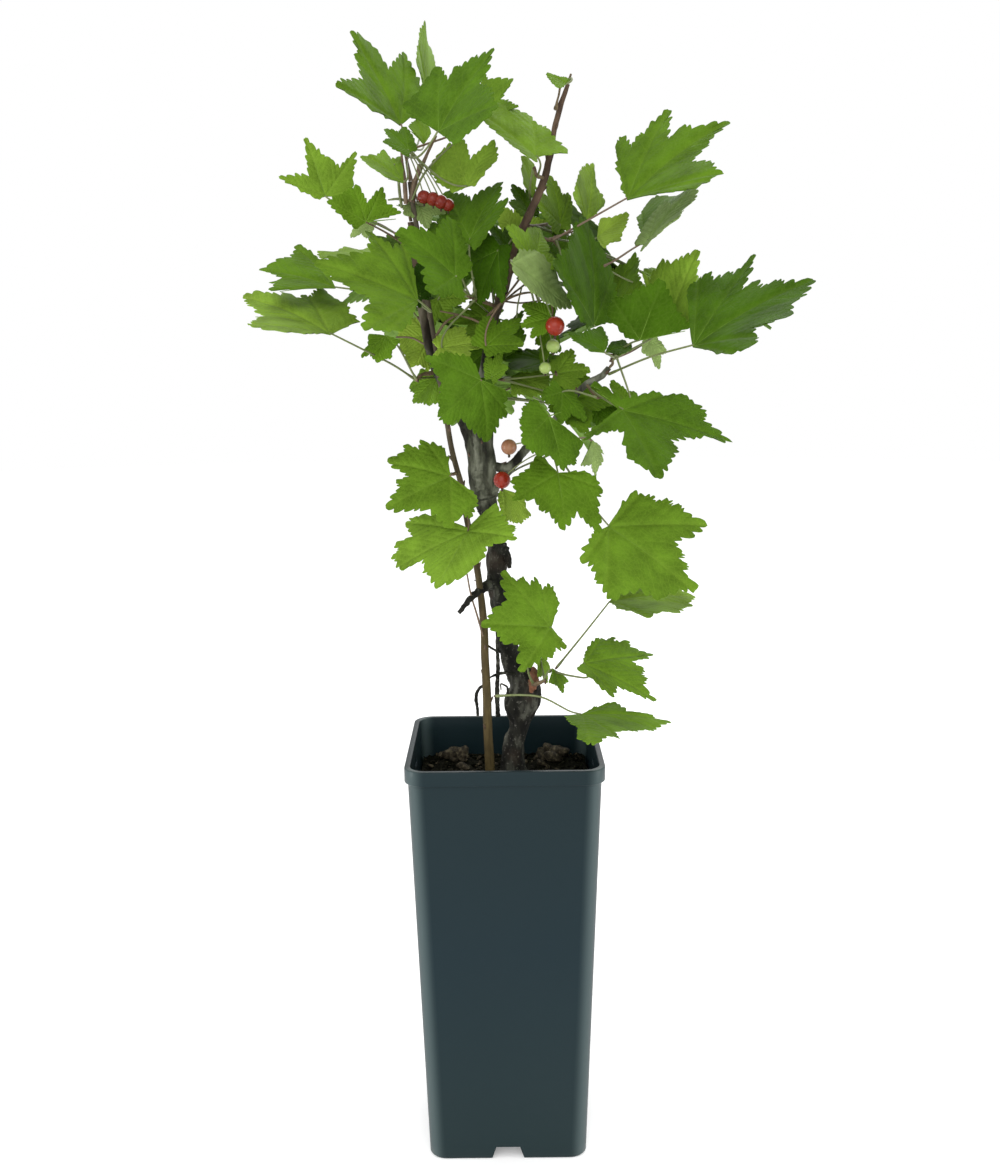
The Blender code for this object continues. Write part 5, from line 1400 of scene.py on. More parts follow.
def berry_surfaces(fruit, tint):
    """A berry: a ball with faint ridges between its poles, and under it the dry rest of its flower,
    a small cone with a ragged end."""
    rows, columns = 14, 24
    berry = round_surface(np.zeros(3), np.ones(3), rows, columns, tint)
    turn = np.arctan2(berry.vertices[:, 1], berry.vertices[:, 0])
    ridges = 1 + 0.012 * np.cos(10 * turn) * (1 - berry.vertices[:, 2] ** 2)
    berry.vertices = fruit.ball + berry.vertices * ridges[:, None] * fruit.radius
    drop = np.array([0.0, 0.0, -1.0])
    tip = fruit.ball + fruit.radius * 0.94 * drop
    path = tip + np.linspace(0, 1, 5)[:, None] * drop * fruit.radius * 0.42
    radius = fruit.radius * np.array([0.20, 0.17, 0.13, 0.15, 0.10])
    return [berry, limb_surface(path, radius, 7, CALYX, knobs(0.5, 1.2 * MM, 5))]


# Bark


def flaky(places, wide):
    """Old bark: long low ridges, plates that lift at their edges, and a fine grain, in metres."""
    long = places * [1, 1, 0.32]
    ridges = 1 - 2 * np.abs(ripples(long, 7 * MM, 11))
    plates = np.clip(ripples(places * [1, 1, 0.55], 5 * MM, 12) * 2.2, -0.6, 0.8)
    grain = ripples(places * [1, 1, 0.5], 1.9 * MM, 13)
    return 0.45 * MM * ridges + 0.38 * MM * plates + 0.14 * MM * grain


def bough_bark(places, wide):
    """Bark of a bough: shallower than the trunk's, and less of it as the bough thins."""
    return flaky(places, wide) * np.clip(wide / (5 * MM), 0.12, 0.7)


def shoot_bark_relief(places, wide):
    """Smooth young bark with slight lengthwise ridges."""
    return 0.1 * MM * ripples(places * [1, 1, 0.2], 3 * MM, 21)


def limb_parts(item):
    """A limb with its bark, and the buds along it; the trunk has none."""
    rows = {"trunk": 300, "young_shoot": 360}.get(item.name, 220)
    sides = {"trunk": 84, "young_shoot": 20}.get(item.name, 36)
    swell = {"trunk": flaky, "young_shoot": shoot_bark_relief}.get(item.name, bough_bark)
    fine = smooth_path(item.curve, rows)
    if item.name in FORK_OFFSET:
        fine[:, 3] *= 1 + FORK_SWELL * np.clip(1 - (fine[:, 2] - fine[0, 2]) / FORK_REACH, 0, 1)
    if item.name == "left_bough":
        fine[:, 0] += BOUGH_SHIFT * np.exp(-(((fine[:, 2] - fine[0, 2] - FORK_REACH / 2) / (FORK_REACH / 3)) ** 2))
    if item.name in THINS:
        fine[:, 3] *= np.interp(fine[:, 2], *THINS[item.name])
    slot = SHOOT if item.name == "young_shoot" else BARK
    parts = [limb_surface(fine[:, :3], fine[:, 3], sides, slot, swell)]
    if item.name == "trunk":
        return parts
    for k, at in enumerate(np.linspace(0.06, 0.97, int(np.ptp(item.axis[:, 2]) / BUD_SPACING) + 2)):
        spot = along_path(fine, at)
        flow = unit(along_path(fine, min(at + 0.02, 1.0))[:3] - along_path(fine, at - 0.02)[:3])
        turn = k * 2.4
        side = unit(np.cross(flow, [math.cos(turn), math.sin(turn), 0.1]))
        parts.append(bud_surface(spot[:3] + side * spot[3] * 0.8, unit(flow + 0.6 * side), 1.2 * MM, 2.9 * MM))
    return parts


def wire_surface(points, slot, sides=9, relief_share=0.25):
    """A thin dead twig or root through drawn points: across, down, depth and diameter in mm."""
    stations = np.array(points, float)
    axis = place(stations[:, :2], stations[:, 2] * MM)
    fine = smooth_path(np.c_[axis, stations[:, 3] * MM / 2], 12 * len(stations))
    return limb_surface(fine[:, :3], fine[:, 3], sides, slot, knobs(relief_share, 3 * MM, 31))


# Pot and compost


def half_width(height):
    """The pot's outer half width at a height, below its collar."""
    share = height / POT_HEIGHT
    return (FOOT_WIDTH + (POT_WIDTH - 2 * COLLAR_STEP - FOOT_WIDTH) * share) / 2


def soil_height(x, y):
    """The compost's surface: level where the stems stand, with a few mounds of bark."""
    height = np.full(np.shape(x), SOIL_TOP)
    for mound in MOUNDS:
        away = np.hypot(x - mound["at"][0], y - mound["at"][1]) / mound["wide"]
        height = height + mound["high"] * np.clip(1 - away**2, 0, None) ** 1.5
    return height


def pot_ring(half, corner, height, opening):
    """One ring round the pot: on each side, points up to the opening's edge, across the opening and
    on to the corner's arc. Each side is the first one turned by quarter turns."""
    near_arc = half - corner
    first = np.r_[-near_arc, -near_arc + ARC_BLEND, np.linspace(-near_arc + 3 * ARC_BLEND, -opening, FLAT_STEPS)]
    across = np.r_[first, np.linspace(-opening, opening, OPENING_STEPS + 1)[1:-1], -first[::-1]]
    side = np.stack([across, np.full(len(across), -half)], 1)
    turn = np.linspace(-math.pi / 2, 0, ARC_STEPS + 1)[1:-1]
    arc = np.stack([near_arc + corner * np.cos(turn), -near_arc + corner * np.sin(turn)], 1)
    quarter = np.vstack([side, arc])
    ring = [quarter]
    for _ in range(3):
        quarter = np.stack([-quarter[:, 1], quarter[:, 0]], 1)
        ring.append(quarter)
    ring = np.vstack(ring)
    return np.c_[ring, np.full(len(ring), height)]


def pot_surface():
    """The pot: rings from the middle of its raised floor down inside the foot, up the outer wall,
    over the rim and down inside to the floor again. The foot's notches and the slots in two sides
    are left out of the rings' quads, and walls join their edges through the thickness."""
    rows = pot_rows()
    count = len(rows[0][1])
    points = np.vstack([ring for _, ring in rows])
    at = np.arange(len(rows) * count).reshape(len(rows), count)
    name = {label: k for k, (label, _) in enumerate(rows) if label}
    quads = grid_quads(len(rows), count).reshape(len(rows) - 1, count, 4)
    keep = np.ones((len(rows) - 1, count), bool)
    per_side = count // 4
    edge = FLAT_STEPS + 1
    walls = []
    openings = [(side, "foot_inner", "foot_outer") for side in range(4)]
    for side, inner, outer in openings:
        left, right = side * per_side + edge, side * per_side + edge + OPENING_STEPS
        keep[name[inner] : name[outer], left:right] = False
        through = list(range(name[inner], name[outer] + 1))
        walls.append(strip(at[name[outer], left : right + 1], at[name[inner], left : right + 1]))
        for column, way in ((left, 1), (right, -1)):
            loop = at[through, column][::way]
            walls.append(cap(loop))
    for side in (1, 3):
        left, right = side * per_side + edge, side * per_side + edge + OPENING_STEPS
        low, high = name["slot_low"], name["slot_high"]
        inner_high, inner_low = name["slot_high_in"], name["slot_low_in"]
        keep[low:high, left:right] = False
        keep[inner_high:inner_low, left:right] = False
        columns = np.arange(left, right + 1)
        walls.append(strip(at[inner_low, columns], at[low, columns]))
        walls.append(strip(at[high, columns], at[inner_high, columns]))
        walls.append(np.array([[at[low, left], at[inner_low, left], at[inner_high, left], at[high, left]]]))
        walls.append(np.array([[at[low, right], at[high, right], at[inner_high, right], at[inner_low, right]]]))
    middle_low, middle_high = len(points), len(points) + 1
    points = np.vstack([points, [[0, 0, FLOOR_HEIGHT], [0, 0, FLOOR_HEIGHT + FLOOR_WALL]]])
    quads = np.vstack([quads[keep], *walls, fan(middle_low, at[0][::-1]), fan(middle_high, at[-1])])
    points[:, :2] *= POT_WIDENED
    # The first mark rises on each corner's arc: it places the painted corner highlight of the pot's finish.
    turn = np.linspace(0, math.pi, ARC_STEPS + 1)[1:-1]
    corner = np.r_[np.zeros(per_side - len(turn)), np.sin(turn) ** 1.6]
    marks = np.zeros((len(points), 2))
    marks[: at.size, 0] = np.tile(corner, 4 * len(rows))
    return surface(points, quads, marks=marks)


def strip(one, other):
    """Quads between two rows of points, one after the other."""
    return np.stack([one[:-1], one[1:], other[1:], other[:-1]], -1)


def cap(loop):
    """A flat face over a few points, as quads from its first point."""
    faces = [(loop[0], loop[k], loop[k + 1], loop[k + 1]) for k in range(1, len(loop) - 1)]
    return np.array(faces)


def pot_rows():
    """The pot's rings in order, some with a label: half width, corner radius and height of each."""
    half, top, foot = POT_WIDTH / 2, POT_HEIGHT, FOOT_WIDTH / 2
    under, lip = top - COLLAR_HEIGHT, 0.6 * MM
    slot_low, slot_high = top - SLOT_DROP - SLOT_HEIGHT / 2, top - SLOT_DROP + SLOT_HEIGHT / 2
    inner_foot, inner_corner = foot - FOOT_WALL, CORNER - FOOT_WALL
    rows = [
        (None, inner_foot, inner_corner, FLOOR_HEIGHT),
        ("foot_inner", inner_foot, inner_corner, NOTCH_HEIGHT),
        (None, inner_foot, inner_corner, 0.3 * MM),
        (None, inner_foot + 0.3 * MM, inner_corner + 0.3 * MM, 0),
        (None, foot - FOOT_ROUND, CORNER - FOOT_ROUND, 0),
        (None, half_width(FOOT_ROUND) - 0.35 * FOOT_ROUND, CORNER, 0.35 * FOOT_ROUND),
        (None, half_width(FOOT_ROUND), CORNER, FOOT_ROUND),
        ("foot_outer", half_width(NOTCH_HEIGHT), CORNER, NOTCH_HEIGHT),
    ]
    heights = np.linspace(NOTCH_HEIGHT, slot_low, 26)[1:-1]
    rows += [(None, half_width(height), CORNER, height) for height in heights]
    rows += [("slot_low", half_width(slot_low), CORNER, slot_low)]
    rows += [("slot_high", half_width(slot_high), CORNER, slot_high)]
    rows += [(None, half_width(under - 0.4 * MM), CORNER, under - 0.4 * MM)]
    rows += [(None, half_width(under) + 0.2 * MM, CORNER + 0.2 * MM, under)]
    wide_corner = CORNER + COLLAR_STEP
    turn = np.linspace(0, math.pi / 2, 5)
    rows += [
        (None, half - lip * (1 - math.sin(t)), wide_corner, under + lip * (1 - math.cos(t))) for t in turn
    ]
    rows += [
        (None, half - lip * (1 - math.cos(t)), wide_corner, top - lip * (1 - math.sin(t))) for t in turn
    ]
    bore = half - WALL - COLLAR_STEP
    rows += [(None, bore + lip * (1 - math.sin(t)), CORNER, top - lip * (1 - math.cos(t))) for t in turn]
    rows += [(None, half_width(under) - WALL, CORNER - WALL, under)]
    rows += [("slot_high_in", half_width(slot_high) - WALL, CORNER - WALL, slot_high)]
    rows += [("slot_low_in", half_width(slot_low) - WALL, CORNER - WALL, slot_low)]
    floor = FLOOR_HEIGHT + FLOOR_WALL
    rows += [(None, half_width(height) - WALL, CORNER - WALL, height) for height in np.linspace(0.19, floor, 6)]
    return [(label, pot_ring(wide, corner, height, opening_at(height))) for label, wide, corner, height in rows]


def opening_at(height):
    """Half the openings' width at a height: the foot's notches narrow upwards, and the slots are a
    little narrower."""
    return float(
        np.interp(
            height,
            (0, NOTCH_HEIGHT, POT_HEIGHT - 3 * SLOT_DROP, POT_HEIGHT - 2 * SLOT_DROP),
            (NOTCH_WIDTH / 2, NOTCH_TOP_WIDTH / 2, NOTCH_TOP_WIDTH / 2, SLOT_LENGTH / 2),
        )
    )


def compost_parts():
    """The compost: a block whose top is rough with crumbs, and lumps of coarse bark and crumbs that
    lie on its mounds."""
    spare = WALL + 1.5 * GAP
    low = FLOOR_HEIGHT + FLOOR_WALL + GAP
    rings = [pot_ring(half_width(low) - spare, CORNER - spare, low, opening_at(low))]
    for share in COMPOST_SHARES:
        ring = pot_ring(half_width(SOIL_TOP) - spare, CORNER - spare, 0, opening_at(SOIL_TOP))
        ring[:, :2] *= share
        rough = 1.3 * ripples(ring, 6 * MM, 41) + 0.8 * ripples(ring, 2.6 * MM, 42)
        ring[:, 2] = soil_height(ring[:, 0], ring[:, 1]) + (rough - 0.8) * MM
        rings.append(ring)
    count = len(rings[0])
    points = np.vstack(rings)
    at = np.arange(len(points)).reshape(len(rings), count)
    middle = [[0, 0, low], [0, 0, SOIL_TOP]]
    quads = np.vstack(
        [grid_quads(len(rings), count), fan(len(points), at[0][::-1]), fan(len(points) + 1, at[-1])]
    )
    parts = [surface(np.vstack([points, middle]), quads)]
    for across, away, chips in CHIPS:
        for _ in range(chips):
            parts.append(lump((across * MM, away * MM), CHIP_SPREAD, (3.2 * MM, 7.0 * MM), 1))
    reach = half_width(SOIL_TOP) - spare - 3 * MM
    for _ in range(CRUMBS):
        spot = dice.uniform(-reach, reach, 2)
        parts.append(lump(spot, 0, (0.9 * MM, 2.6 * MM), int(dice.random() < 0.4)))
    return parts


def lump(middle, spread, sizes, slot):
    """A chip or crumb on the compost near a place, of a random size, turned at random."""
    spot = np.array(middle) + dice.normal(0, 1, 2) * spread * 0.5
    size = dice.uniform(*sizes)
    half = size * dice.uniform([0.8, 0.45, 0.3], [1.0, 0.75, 0.5])
    height = float(soil_height(*spot)) + half[2] * 0.35
    turn, tilt = dice.uniform(0, 2 * math.pi), dice.uniform(-0.5, 0.5)
    along = np.array([math.cos(turn) * math.cos(tilt), math.sin(turn) * math.cos(tilt), math.sin(tilt)])
    side = unit(np.cross([0.1, 0, 1.0], along))
    axes = np.stack([along, side, np.cross(along, side)])
    seed = int(dice.integers(1000))
    rows, columns = (6, 9) if size > 3 * MM else (4, 6)
    return round_surface(np.array([*spot, height]), half, rows, columns, slot, 0.22, seed, axes)


# Finishes


class Value:
    """A number that varies over a surface: a socket of a finish's nodes. Sums and products of
    values and numbers add the Math nodes that work them out."""

    def __init__(self, finish, socket):
        self.finish, self.socket = finish, socket

    def math(self, operation, *terms):
        return self.finish.node("ShaderNodeMath", dict(enumerate(terms)), operation=operation)

    def __add__(self, other):
        return self.math("ADD", self, other)

    def __sub__(self, other):
        return self.math("SUBTRACT", self, other)

    def __rsub__(self, other):
        return self.math("SUBTRACT", other, self)

    def __mul__(self, other):
        return self.math("MULTIPLY", self, other)

    def __truediv__(self, other):
        return self.math("DIVIDE", self, other)

    __radd__, __rmul__ = __add__, __mul__


class Finish:
    """A material under construction: its nodes, and the Principled shader that they feed."""

    def __init__(self, name, roughness, specular=0.5, **constants):
        self.material = bpy.data.materials.new(name)
        self.material.use_nodes = True
        self.nodes, self.links = self.material.node_tree.nodes, self.material.node_tree.links
        self.shader = self.nodes["Principled BSDF"]
        self.shader.inputs["Roughness"].default_value = roughness
        self.shader.inputs["Specular IOR Level"].default_value = specular
        for socket, value in constants.items():
            self.shader.inputs[socket.replace("_", " ")].default_value = value

    def set(self, socket, value):
        """Gives a socket a number, a colour or the link of a value."""
        if isinstance(value, Value):
            self.links.new(value.socket, socket)
        elif isinstance(value, tuple) and len(value) == 3 and socket.type == "RGBA":
            socket.default_value = (*value, 1)
        else:
            socket.default_value = value

    def node(self, kind, sockets=None, output=0, stops=None, **settings):
        """Adds any node: its settings first, then its ramp's stops, then its sockets' values."""
        made = self.nodes.new(kind)
        for setting, value in settings.items():
            setattr(made, setting, value)
        if stops:
            ramp = made.color_ramp.elements
            while len(ramp) < len(stops):
                ramp.new(1.0)
            for element, (at, colour) in zip(ramp, stops):
                element.position = at
                element.color = (*colour, 1)
        for key, value in (sockets or {}).items():
            self.set(made.inputs[key], value)
        return Value(self, made.outputs[output])

    def place(self):
        return self.node("ShaderNodeTexCoord", output="Object")

    def noise(self, scale, detail=4.0, squash=None):
        """Noise on the piece's own place, in cells of 1/scale metres."""
        where = self.place()
        if squash:
            where = self.node("ShaderNodeMapping", {"Vector": where, "Scale": squash})
        return self.node("ShaderNodeTexNoise", {"Vector": where, "Scale": scale, "Detail": detail})

    def ramp(self, factor, *stops):
        return self.node("ShaderNodeValToRGB", {"Fac": factor}, stops=stops)

    def mix(self, factor, one, other, blend="MIX"):
        """A mix of two colours."""
        made = self.node(
            "ShaderNodeMix", {"Factor": factor, 6: one, 7: other}, 2, data_type="RGBA", blend_type=blend
        )
        return made

    def bump(self, height, distance, strength=1.0):
        """Small relief: its height in shares of a distance."""
        made = self.node("ShaderNodeBump", {"Height": height, "Distance": distance, "Strength": strength})
        self.set(self.shader.inputs["Normal"], made)

    def colour(self, value):
        self.set(self.shader.inputs["Base Color"], value)
        return self.material

    def marks(self):
        """The piece's two marks, as two values."""
        uv = self.node("ShaderNodeUVMap", uv_map="marks")
        split = self.nodes.new("ShaderNodeSeparateXYZ")
        self.links.new(uv.socket, split.inputs[0])
        return Value(self, split.outputs[0]), Value(self, split.outputs[1])


def shade(colour, by):
    """A colour made lighter or darker."""
    return tuple(min(channel * by, 1.0) for channel in colour)


def leaf_finish(name, colour, vein, roughness=0.55):
    """A leaf's skin: the green it is given, mottled, paler along the side veins that branch off each lobe's vein, and
    quilted between them. The lighter and darker greens it is given are partly the leaf's own tint and partly painted
    backlight and shade."""
    finish = Finish(name, roughness, LEAF_SHEEN)
    along, off = finish.marks()
    stripes = (along - off * 1.15) * (1 / 0.125)
    wave = stripes.math("FRACT", stripes)
    ridge = (wave - 0.5).math("ABSOLUTE", wave - 0.5)
    line = finish.node(
        "ShaderNodeMapRange",
        {"Value": ridge, "From Min": 0.42, "From Max": 0.5, "To Min": 0.0, "To Max": 1.0},
    )
    near_vein = finish.node(
        "ShaderNodeMapRange",
        {"Value": off, "From Min": 0.0, "From Max": 0.035, "To Min": 1.0, "To Max": 0.0},
    )
    mottle = finish.noise(70.0, 6.0)
    patches = finish.noise(22.0, 2.0)
    fine = finish.noise(900.0, 2.0)
    net = finish.node(
        "ShaderNodeTexVoronoi", {"Vector": finish.place(), "Scale": 420.0}, feature="DISTANCE_TO_EDGE"
    )
    threads = finish.node(
        "ShaderNodeMapRange", {"Value": net, "From Min": 0.0, "From Max": 0.12, "To Min": 1.0, "To Max": 0.0}
    )
    green = finish.ramp(mottle * 0.7 + patches * 0.3, (0.36, shade(colour, 0.70)), (0.64, shade(colour, 1.32)))
    green = finish.mix(threads * 0.24, green, vein)
    green = finish.mix(line * 0.22, green, vein)
    green = finish.mix(near_vein * 0.30, green, vein)
    green = finish.mix(fine * 0.25, green, shade(colour, 0.5))
    finish.bump(ridge * -0.8 + net * 0.6 + fine * 0.2, 0.6 * MM, 0.7)
    return finish.colour(green)


def plain_finish(name, colour, roughness, scale, depth, relief_depth, squash=None, specular=0.4):
    """A skin of one colour that wanders with fine noise, and a slight relief."""
    finish = Finish(name, roughness, specular)
    noise = finish.noise(scale, 5.0, squash)
    finish.bump(noise, relief_depth, 0.8)
    return finish.colour(finish.ramp(noise, (0.28, shade(colour, 1 - depth)), (0.75, shade(colour, 1 + depth))))


def berry_finish(name, colour, light, roughness=0.25):
    """A berry's thin glossy skin, mottled between its colour and a paler one."""
    finish = Finish(name, roughness, 0.2, Coat_Weight=0.08, Coat_Roughness=0.15)
    noise = finish.noise(180.0, 3.0)
    return finish.colour(finish.ramp(noise, (0.3, colour), (0.8, light)))


def shoot_finish():
    """Young bark: tan low down and a dark grey brown where it is older and shaded higher up, with
    fine lengthwise streaks."""
    finish = Finish("shoot_bark", 0.65, 0.15)
    split = finish.nodes.new("ShaderNodeSeparateXYZ")
    finish.links.new(finish.place().socket, split.inputs[0])
    height = Value(finish, split.outputs[2])
    upwards = finish.node("ShaderNodeMapRange", {"Value": height, "From Min": 0.28, "From Max": 0.48})
    streaks = finish.noise(340.0, 5.0, (1, 1, 0.25))
    tan = finish.ramp(streaks, (0.28, (0.030, 0.021, 0.007)), (0.75, (0.086, 0.063, 0.023)))
    grey = finish.ramp(streaks, (0.28, (0.027, 0.021, 0.014)), (0.75, (0.092, 0.078, 0.052)))
    finish.bump(streaks, 0.25 * MM, 0.8)
    return finish.colour(finish.mix(upwards, tan, grey))


def bark_finish():
    """Old bark: near black in the cracks and grey on the plates, with reddish brown where it has
    flaked off and pale specks of lichen."""
    finish = Finish("old_bark", 0.9, 0.2)
    plates = finish.noise(170.0, 6.0, (1, 1, 0.4))
    patches = finish.noise(48.0, 3.0)
    specks = finish.noise(620.0, 2.0)
    tone = finish.ramp(
        plates, (0.37, (0.005, 0.005, 0.004)), (0.53, (0.016, 0.016, 0.012)), (0.69, (0.078, 0.078, 0.062))
    )
    red = finish.node(
        "ShaderNodeMapRange", {"Value": patches, "From Min": 0.58, "From Max": 0.68, "To Min": 0.0, "To Max": 0.25}
    )
    tone = finish.mix(red, tone, (0.050, 0.027, 0.018))
    pale = finish.node(
        "ShaderNodeMapRange", {"Value": specks, "From Min": 0.62, "From Max": 0.72, "To Min": 0.0, "To Max": 0.3}
    )
    tone = finish.mix(pale, tone, (0.24, 0.23, 0.20))
    split = finish.nodes.new("ShaderNodeSeparateXYZ")
    finish.links.new(finish.place().socket, split.inputs[0])
    height = Value(finish, split.outputs[2])
    # Above the fork's height the plates turn a paler grey.
    fork = finish.node("ShaderNodeMapRange", {"Value": height, "From Min": 0.350, "From Max": 0.372})
    paler_plates = finish.ramp(
        plates, (0.38, (0.009, 0.009, 0.006)), (0.52, (0.056, 0.059, 0.040)), (0.66, (0.165, 0.172, 0.128))
    )
    tone = finish.mix(fork * 0.8, tone, paler_plates)
    young = finish.node("ShaderNodeMapRange", {"Value": height, "From Min": 0.44, "From Max": 0.50})
    brown = finish.ramp(plates, (0.3, (0.040, 0.026, 0.019)), (0.7, (0.125, 0.080, 0.052)))
    tone = finish.mix(young, tone, brown)
    finish.bump(plates + specks * 0.3, 0.9 * MM, 0.9)
    return finish.colour(tone)


def pot_finish():
    """Matt moulded plastic: slate, a little greener and lighter towards the foot, with a fine grain and faint scuffs.
    Its rounded corners carry a painted highlight: a paler band in the base colour."""
    finish = Finish("pot_plastic", 0.36, 0.13)
    where = finish.place()
    split = finish.nodes.new("ShaderNodeSeparateXYZ")
    finish.links.new(where.socket, split.inputs[0])
    height = Value(finish, split.outputs[2])
    upwards = finish.node(
        "ShaderNodeMapRange", {"Value": height, "From Min": 0.0, "From Max": POT_HEIGHT, "To Min": 0.0, "To Max": 1.0}
    )
    tone = finish.ramp(upwards, (0.0, (0.010, 0.021, 0.023)), (0.55, (0.006, 0.016, 0.021)), (1.0, (0.006, 0.015, 0.018)))
    cloud = finish.noise(14.0, 3.0)
    tone = finish.mix(cloud * 0.12, tone, (0.018, 0.026, 0.028))
    # Painted highlight: the base colour turns paler along the rounded corners, standing in for the side lights caught
    # there.
    corner, _ = finish.marks()
    tone = finish.mix(corner * 0.5, tone, (0.085, 0.118, 0.118))
    grain = finish.noise(1800.0, 2.0)
    scuffs = finish.noise(60.0, 6.0, (1, 1, 0.25))
    finish.set(finish.shader.inputs["Roughness"], 0.30 + scuffs * 0.14)
    finish.bump(grain, 0.05 * MM, 0.5)
    return finish.colour(tone)


def compost_finish():
    """Damp compost: near black with brown fibres."""
    finish = Finish("compost", 0.95, 0.05)
    crumbs = finish.noise(420.0, 6.0)
    tone = finish.ramp(
        crumbs, (0.35, (0.002, 0.002, 0.001)), (0.55, (0.007, 0.007, 0.004)), (0.75, (0.030, 0.026, 0.017))
    )
    finish.bump(crumbs, 1.2 * MM, 1.0)
    return finish.colour(tone)


def chip_finish():
    """Coarse bark: brown with pale and dark fibres along it."""
    finish = Finish("bark_chip", 0.9, 0.12)
    fibres = finish.noise(520.0, 5.0, (1, 0.4, 1))
    tone = finish.ramp(
        fibres, (0.3, (0.006, 0.005, 0.003)), (0.5, (0.025, 0.020, 0.012)), (0.72, (0.085, 0.070, 0.044))
    )
    finish.bump(fibres, 0.8 * MM, 1.0)
    return finish.colour(tone)


# What the crown hides


def hiding_map(covers):
    """Which cells of the drawing hide what lies behind: those in the thick of the crown, apart from
    its gaps, and those of the drawn leaves."""
    rows, columns = np.indices((PICTURE_HIGH // CELL, PICTURE_WIDE // CELL))
    spots = np.stack([columns.ravel(), rows.ravel()], 1) * CELL + CELL / 2
    hidden = inside_outline(spots, THICKET)
    for across, down, reach in GAPS:
        hidden &= np.hypot(spots[:, 0] - across, spots[:, 1] - down) > reach
    for cover in covers:
        close = ((spots > cover.min(0)) & (spots < cover.max(0))).all(1)
        hidden[close] |= inside_outline(spots[close], cover)
    hidden = hidden.reshape(rows.shape)
    for grow_it in CLOSING:
        for axis in (0, 1):
            beside = np.roll(hidden, 1, axis), np.roll(hidden, -1, axis)
            hidden = hidden | beside[0] | beside[1] if grow_it else hidden & beside[0] & beside[1]
    return hidden


def hidden_share(places, hides):
    """The share of places that the front of the crown hides from the eye."""
    across, down = (drawn(places).T // CELL).astype(int)
    return hides[down, across].mean()


def ways_to_fit():
    """Sizes, turns about the upright and shifts to try for a far leaf, the slightest changes first."""
    shifts = [np.zeros(3)]
    for reach in FAR_SHIFTS:
        for turn in np.arange(8) * math.pi / 4:
            shifts.append(reach * np.array([math.cos(turn), 0, math.sin(turn)]))
    ways = [(size, turn, shift) for size in FAR_SIZES for turn in FAR_TURNS for shift in shifts]
    cost = lambda way: 5 * (1 - way[0]) + abs(way[1]) / 2 + np.linalg.norm(way[2]) / (20 * MM)
    return sorted(ways, key=cost)


def fitted(grown, hides, others, ways):
    """A far leaf, turned, moved or made smaller as little as it takes for the crown to hide it and
    its stalk, clear of the other leaves. Nothing where no way does."""
    blade, stalk = grown.blade, grown.stalk
    loose = np.linspace(0, 1, len(stalk.path))[:, None]
    for size, turn, shift in ways:
        spin = np.array(Matrix.Rotation(turn, 3, "Z"))
        origin = blade.origin + shift
        places = origin + size * (blade.samples - blade.origin) @ spin.T
        path = stalk.path + loose * shift
        if (
            abs(places[:, 1]).max() < DEEPEST
            and hidden_share(places, hides) > HIDDEN
            and hidden_share(path, hides) > STALK_HIDDEN
        ):
            moved = make_blade(origin, size * spin @ blade.along, size * spin @ blade.across, blade.knots, blade.radii)
            moved.far, moved.pale = True, False
            if all(blade_gap(moved, other, FAR_ROOM) >= FAR_ROOM for other in others):
                return SimpleNamespace(blade=moved, stalk=SimpleNamespace(path=path))
    return None


def hidden_leaf(stem, box, depths, hides, others):
    """A new seeded leaf for the far side, where the crown hides it and its stalk, or nothing."""
    blade = far_leaf(dice, box, depths, limbs)
    path = stem.axis[-2] + np.linspace(0, 1, 12)[:, None] * (blade.origin - stem.axis[-2])
    if (
        abs(blade.samples[:, 1]).max() < DEEPEST
        and hidden_share(blade.samples, hides) > HIDDEN
        and hidden_share(path, hides) > STALK_HIDDEN
        and all(blade_gap(blade, other, FAR_ROOM) >= FAR_ROOM for other in others)
    ):
        return SimpleNamespace(blade=blade, stalk=SimpleNamespace(path=path))
    return None


# The whole plant

CELL = 2
CLOSING = (True, True, False, False, False)
FAR_SIZES = (1.0, 0.9, 0.8, 0.7, 0.6)
NEW_LEAF_TRIES = 500
NEIGHBOUR = 20 * MM
FAR_TURNS = np.radians((0, 30, -30, 60, -60, 90, -90, 130, -130, 180))
FAR_SHIFTS = (12 * MM, 24 * MM, 38 * MM)
FAR_ROOM = 1.0 * MM
HIDDEN = 0.98
STALK_HIDDEN = 0.85
THICKET = (
    (440, 190), (470, 192), (500, 186), (506, 200), (530, 197), (550, 172), (562, 190), (575, 186), (602, 210),
    (600, 240), (614, 262), (640, 264), (652, 275), (662, 268), (690, 268), (688, 320), (654, 326), (640, 326),
    (618, 320), (600, 335), (587, 352), (583, 392), (590, 432), (578, 452), (545, 450), (524, 440), (522, 410),
    (510, 395), (498, 420), (487, 438), (445, 415), (440, 402), (414, 396), (411, 384), (426, 366), (402, 348),
    (374, 330), (373, 302), (386, 262), (400, 246), (425, 236), (427, 218),
)
GAPS = (
    (473, 276, 4), (490, 309, 6), (515, 284, 9), (512, 310, 10), (526, 344, 9), (566, 318, 9), (540, 402, 6),
    (515, 405, 12), (562, 340, 6), (507, 415, 9), (505, 296, 7), (528, 300, 6), (612, 253, 9), (668, 343, 11), (622, 334, 8),
)

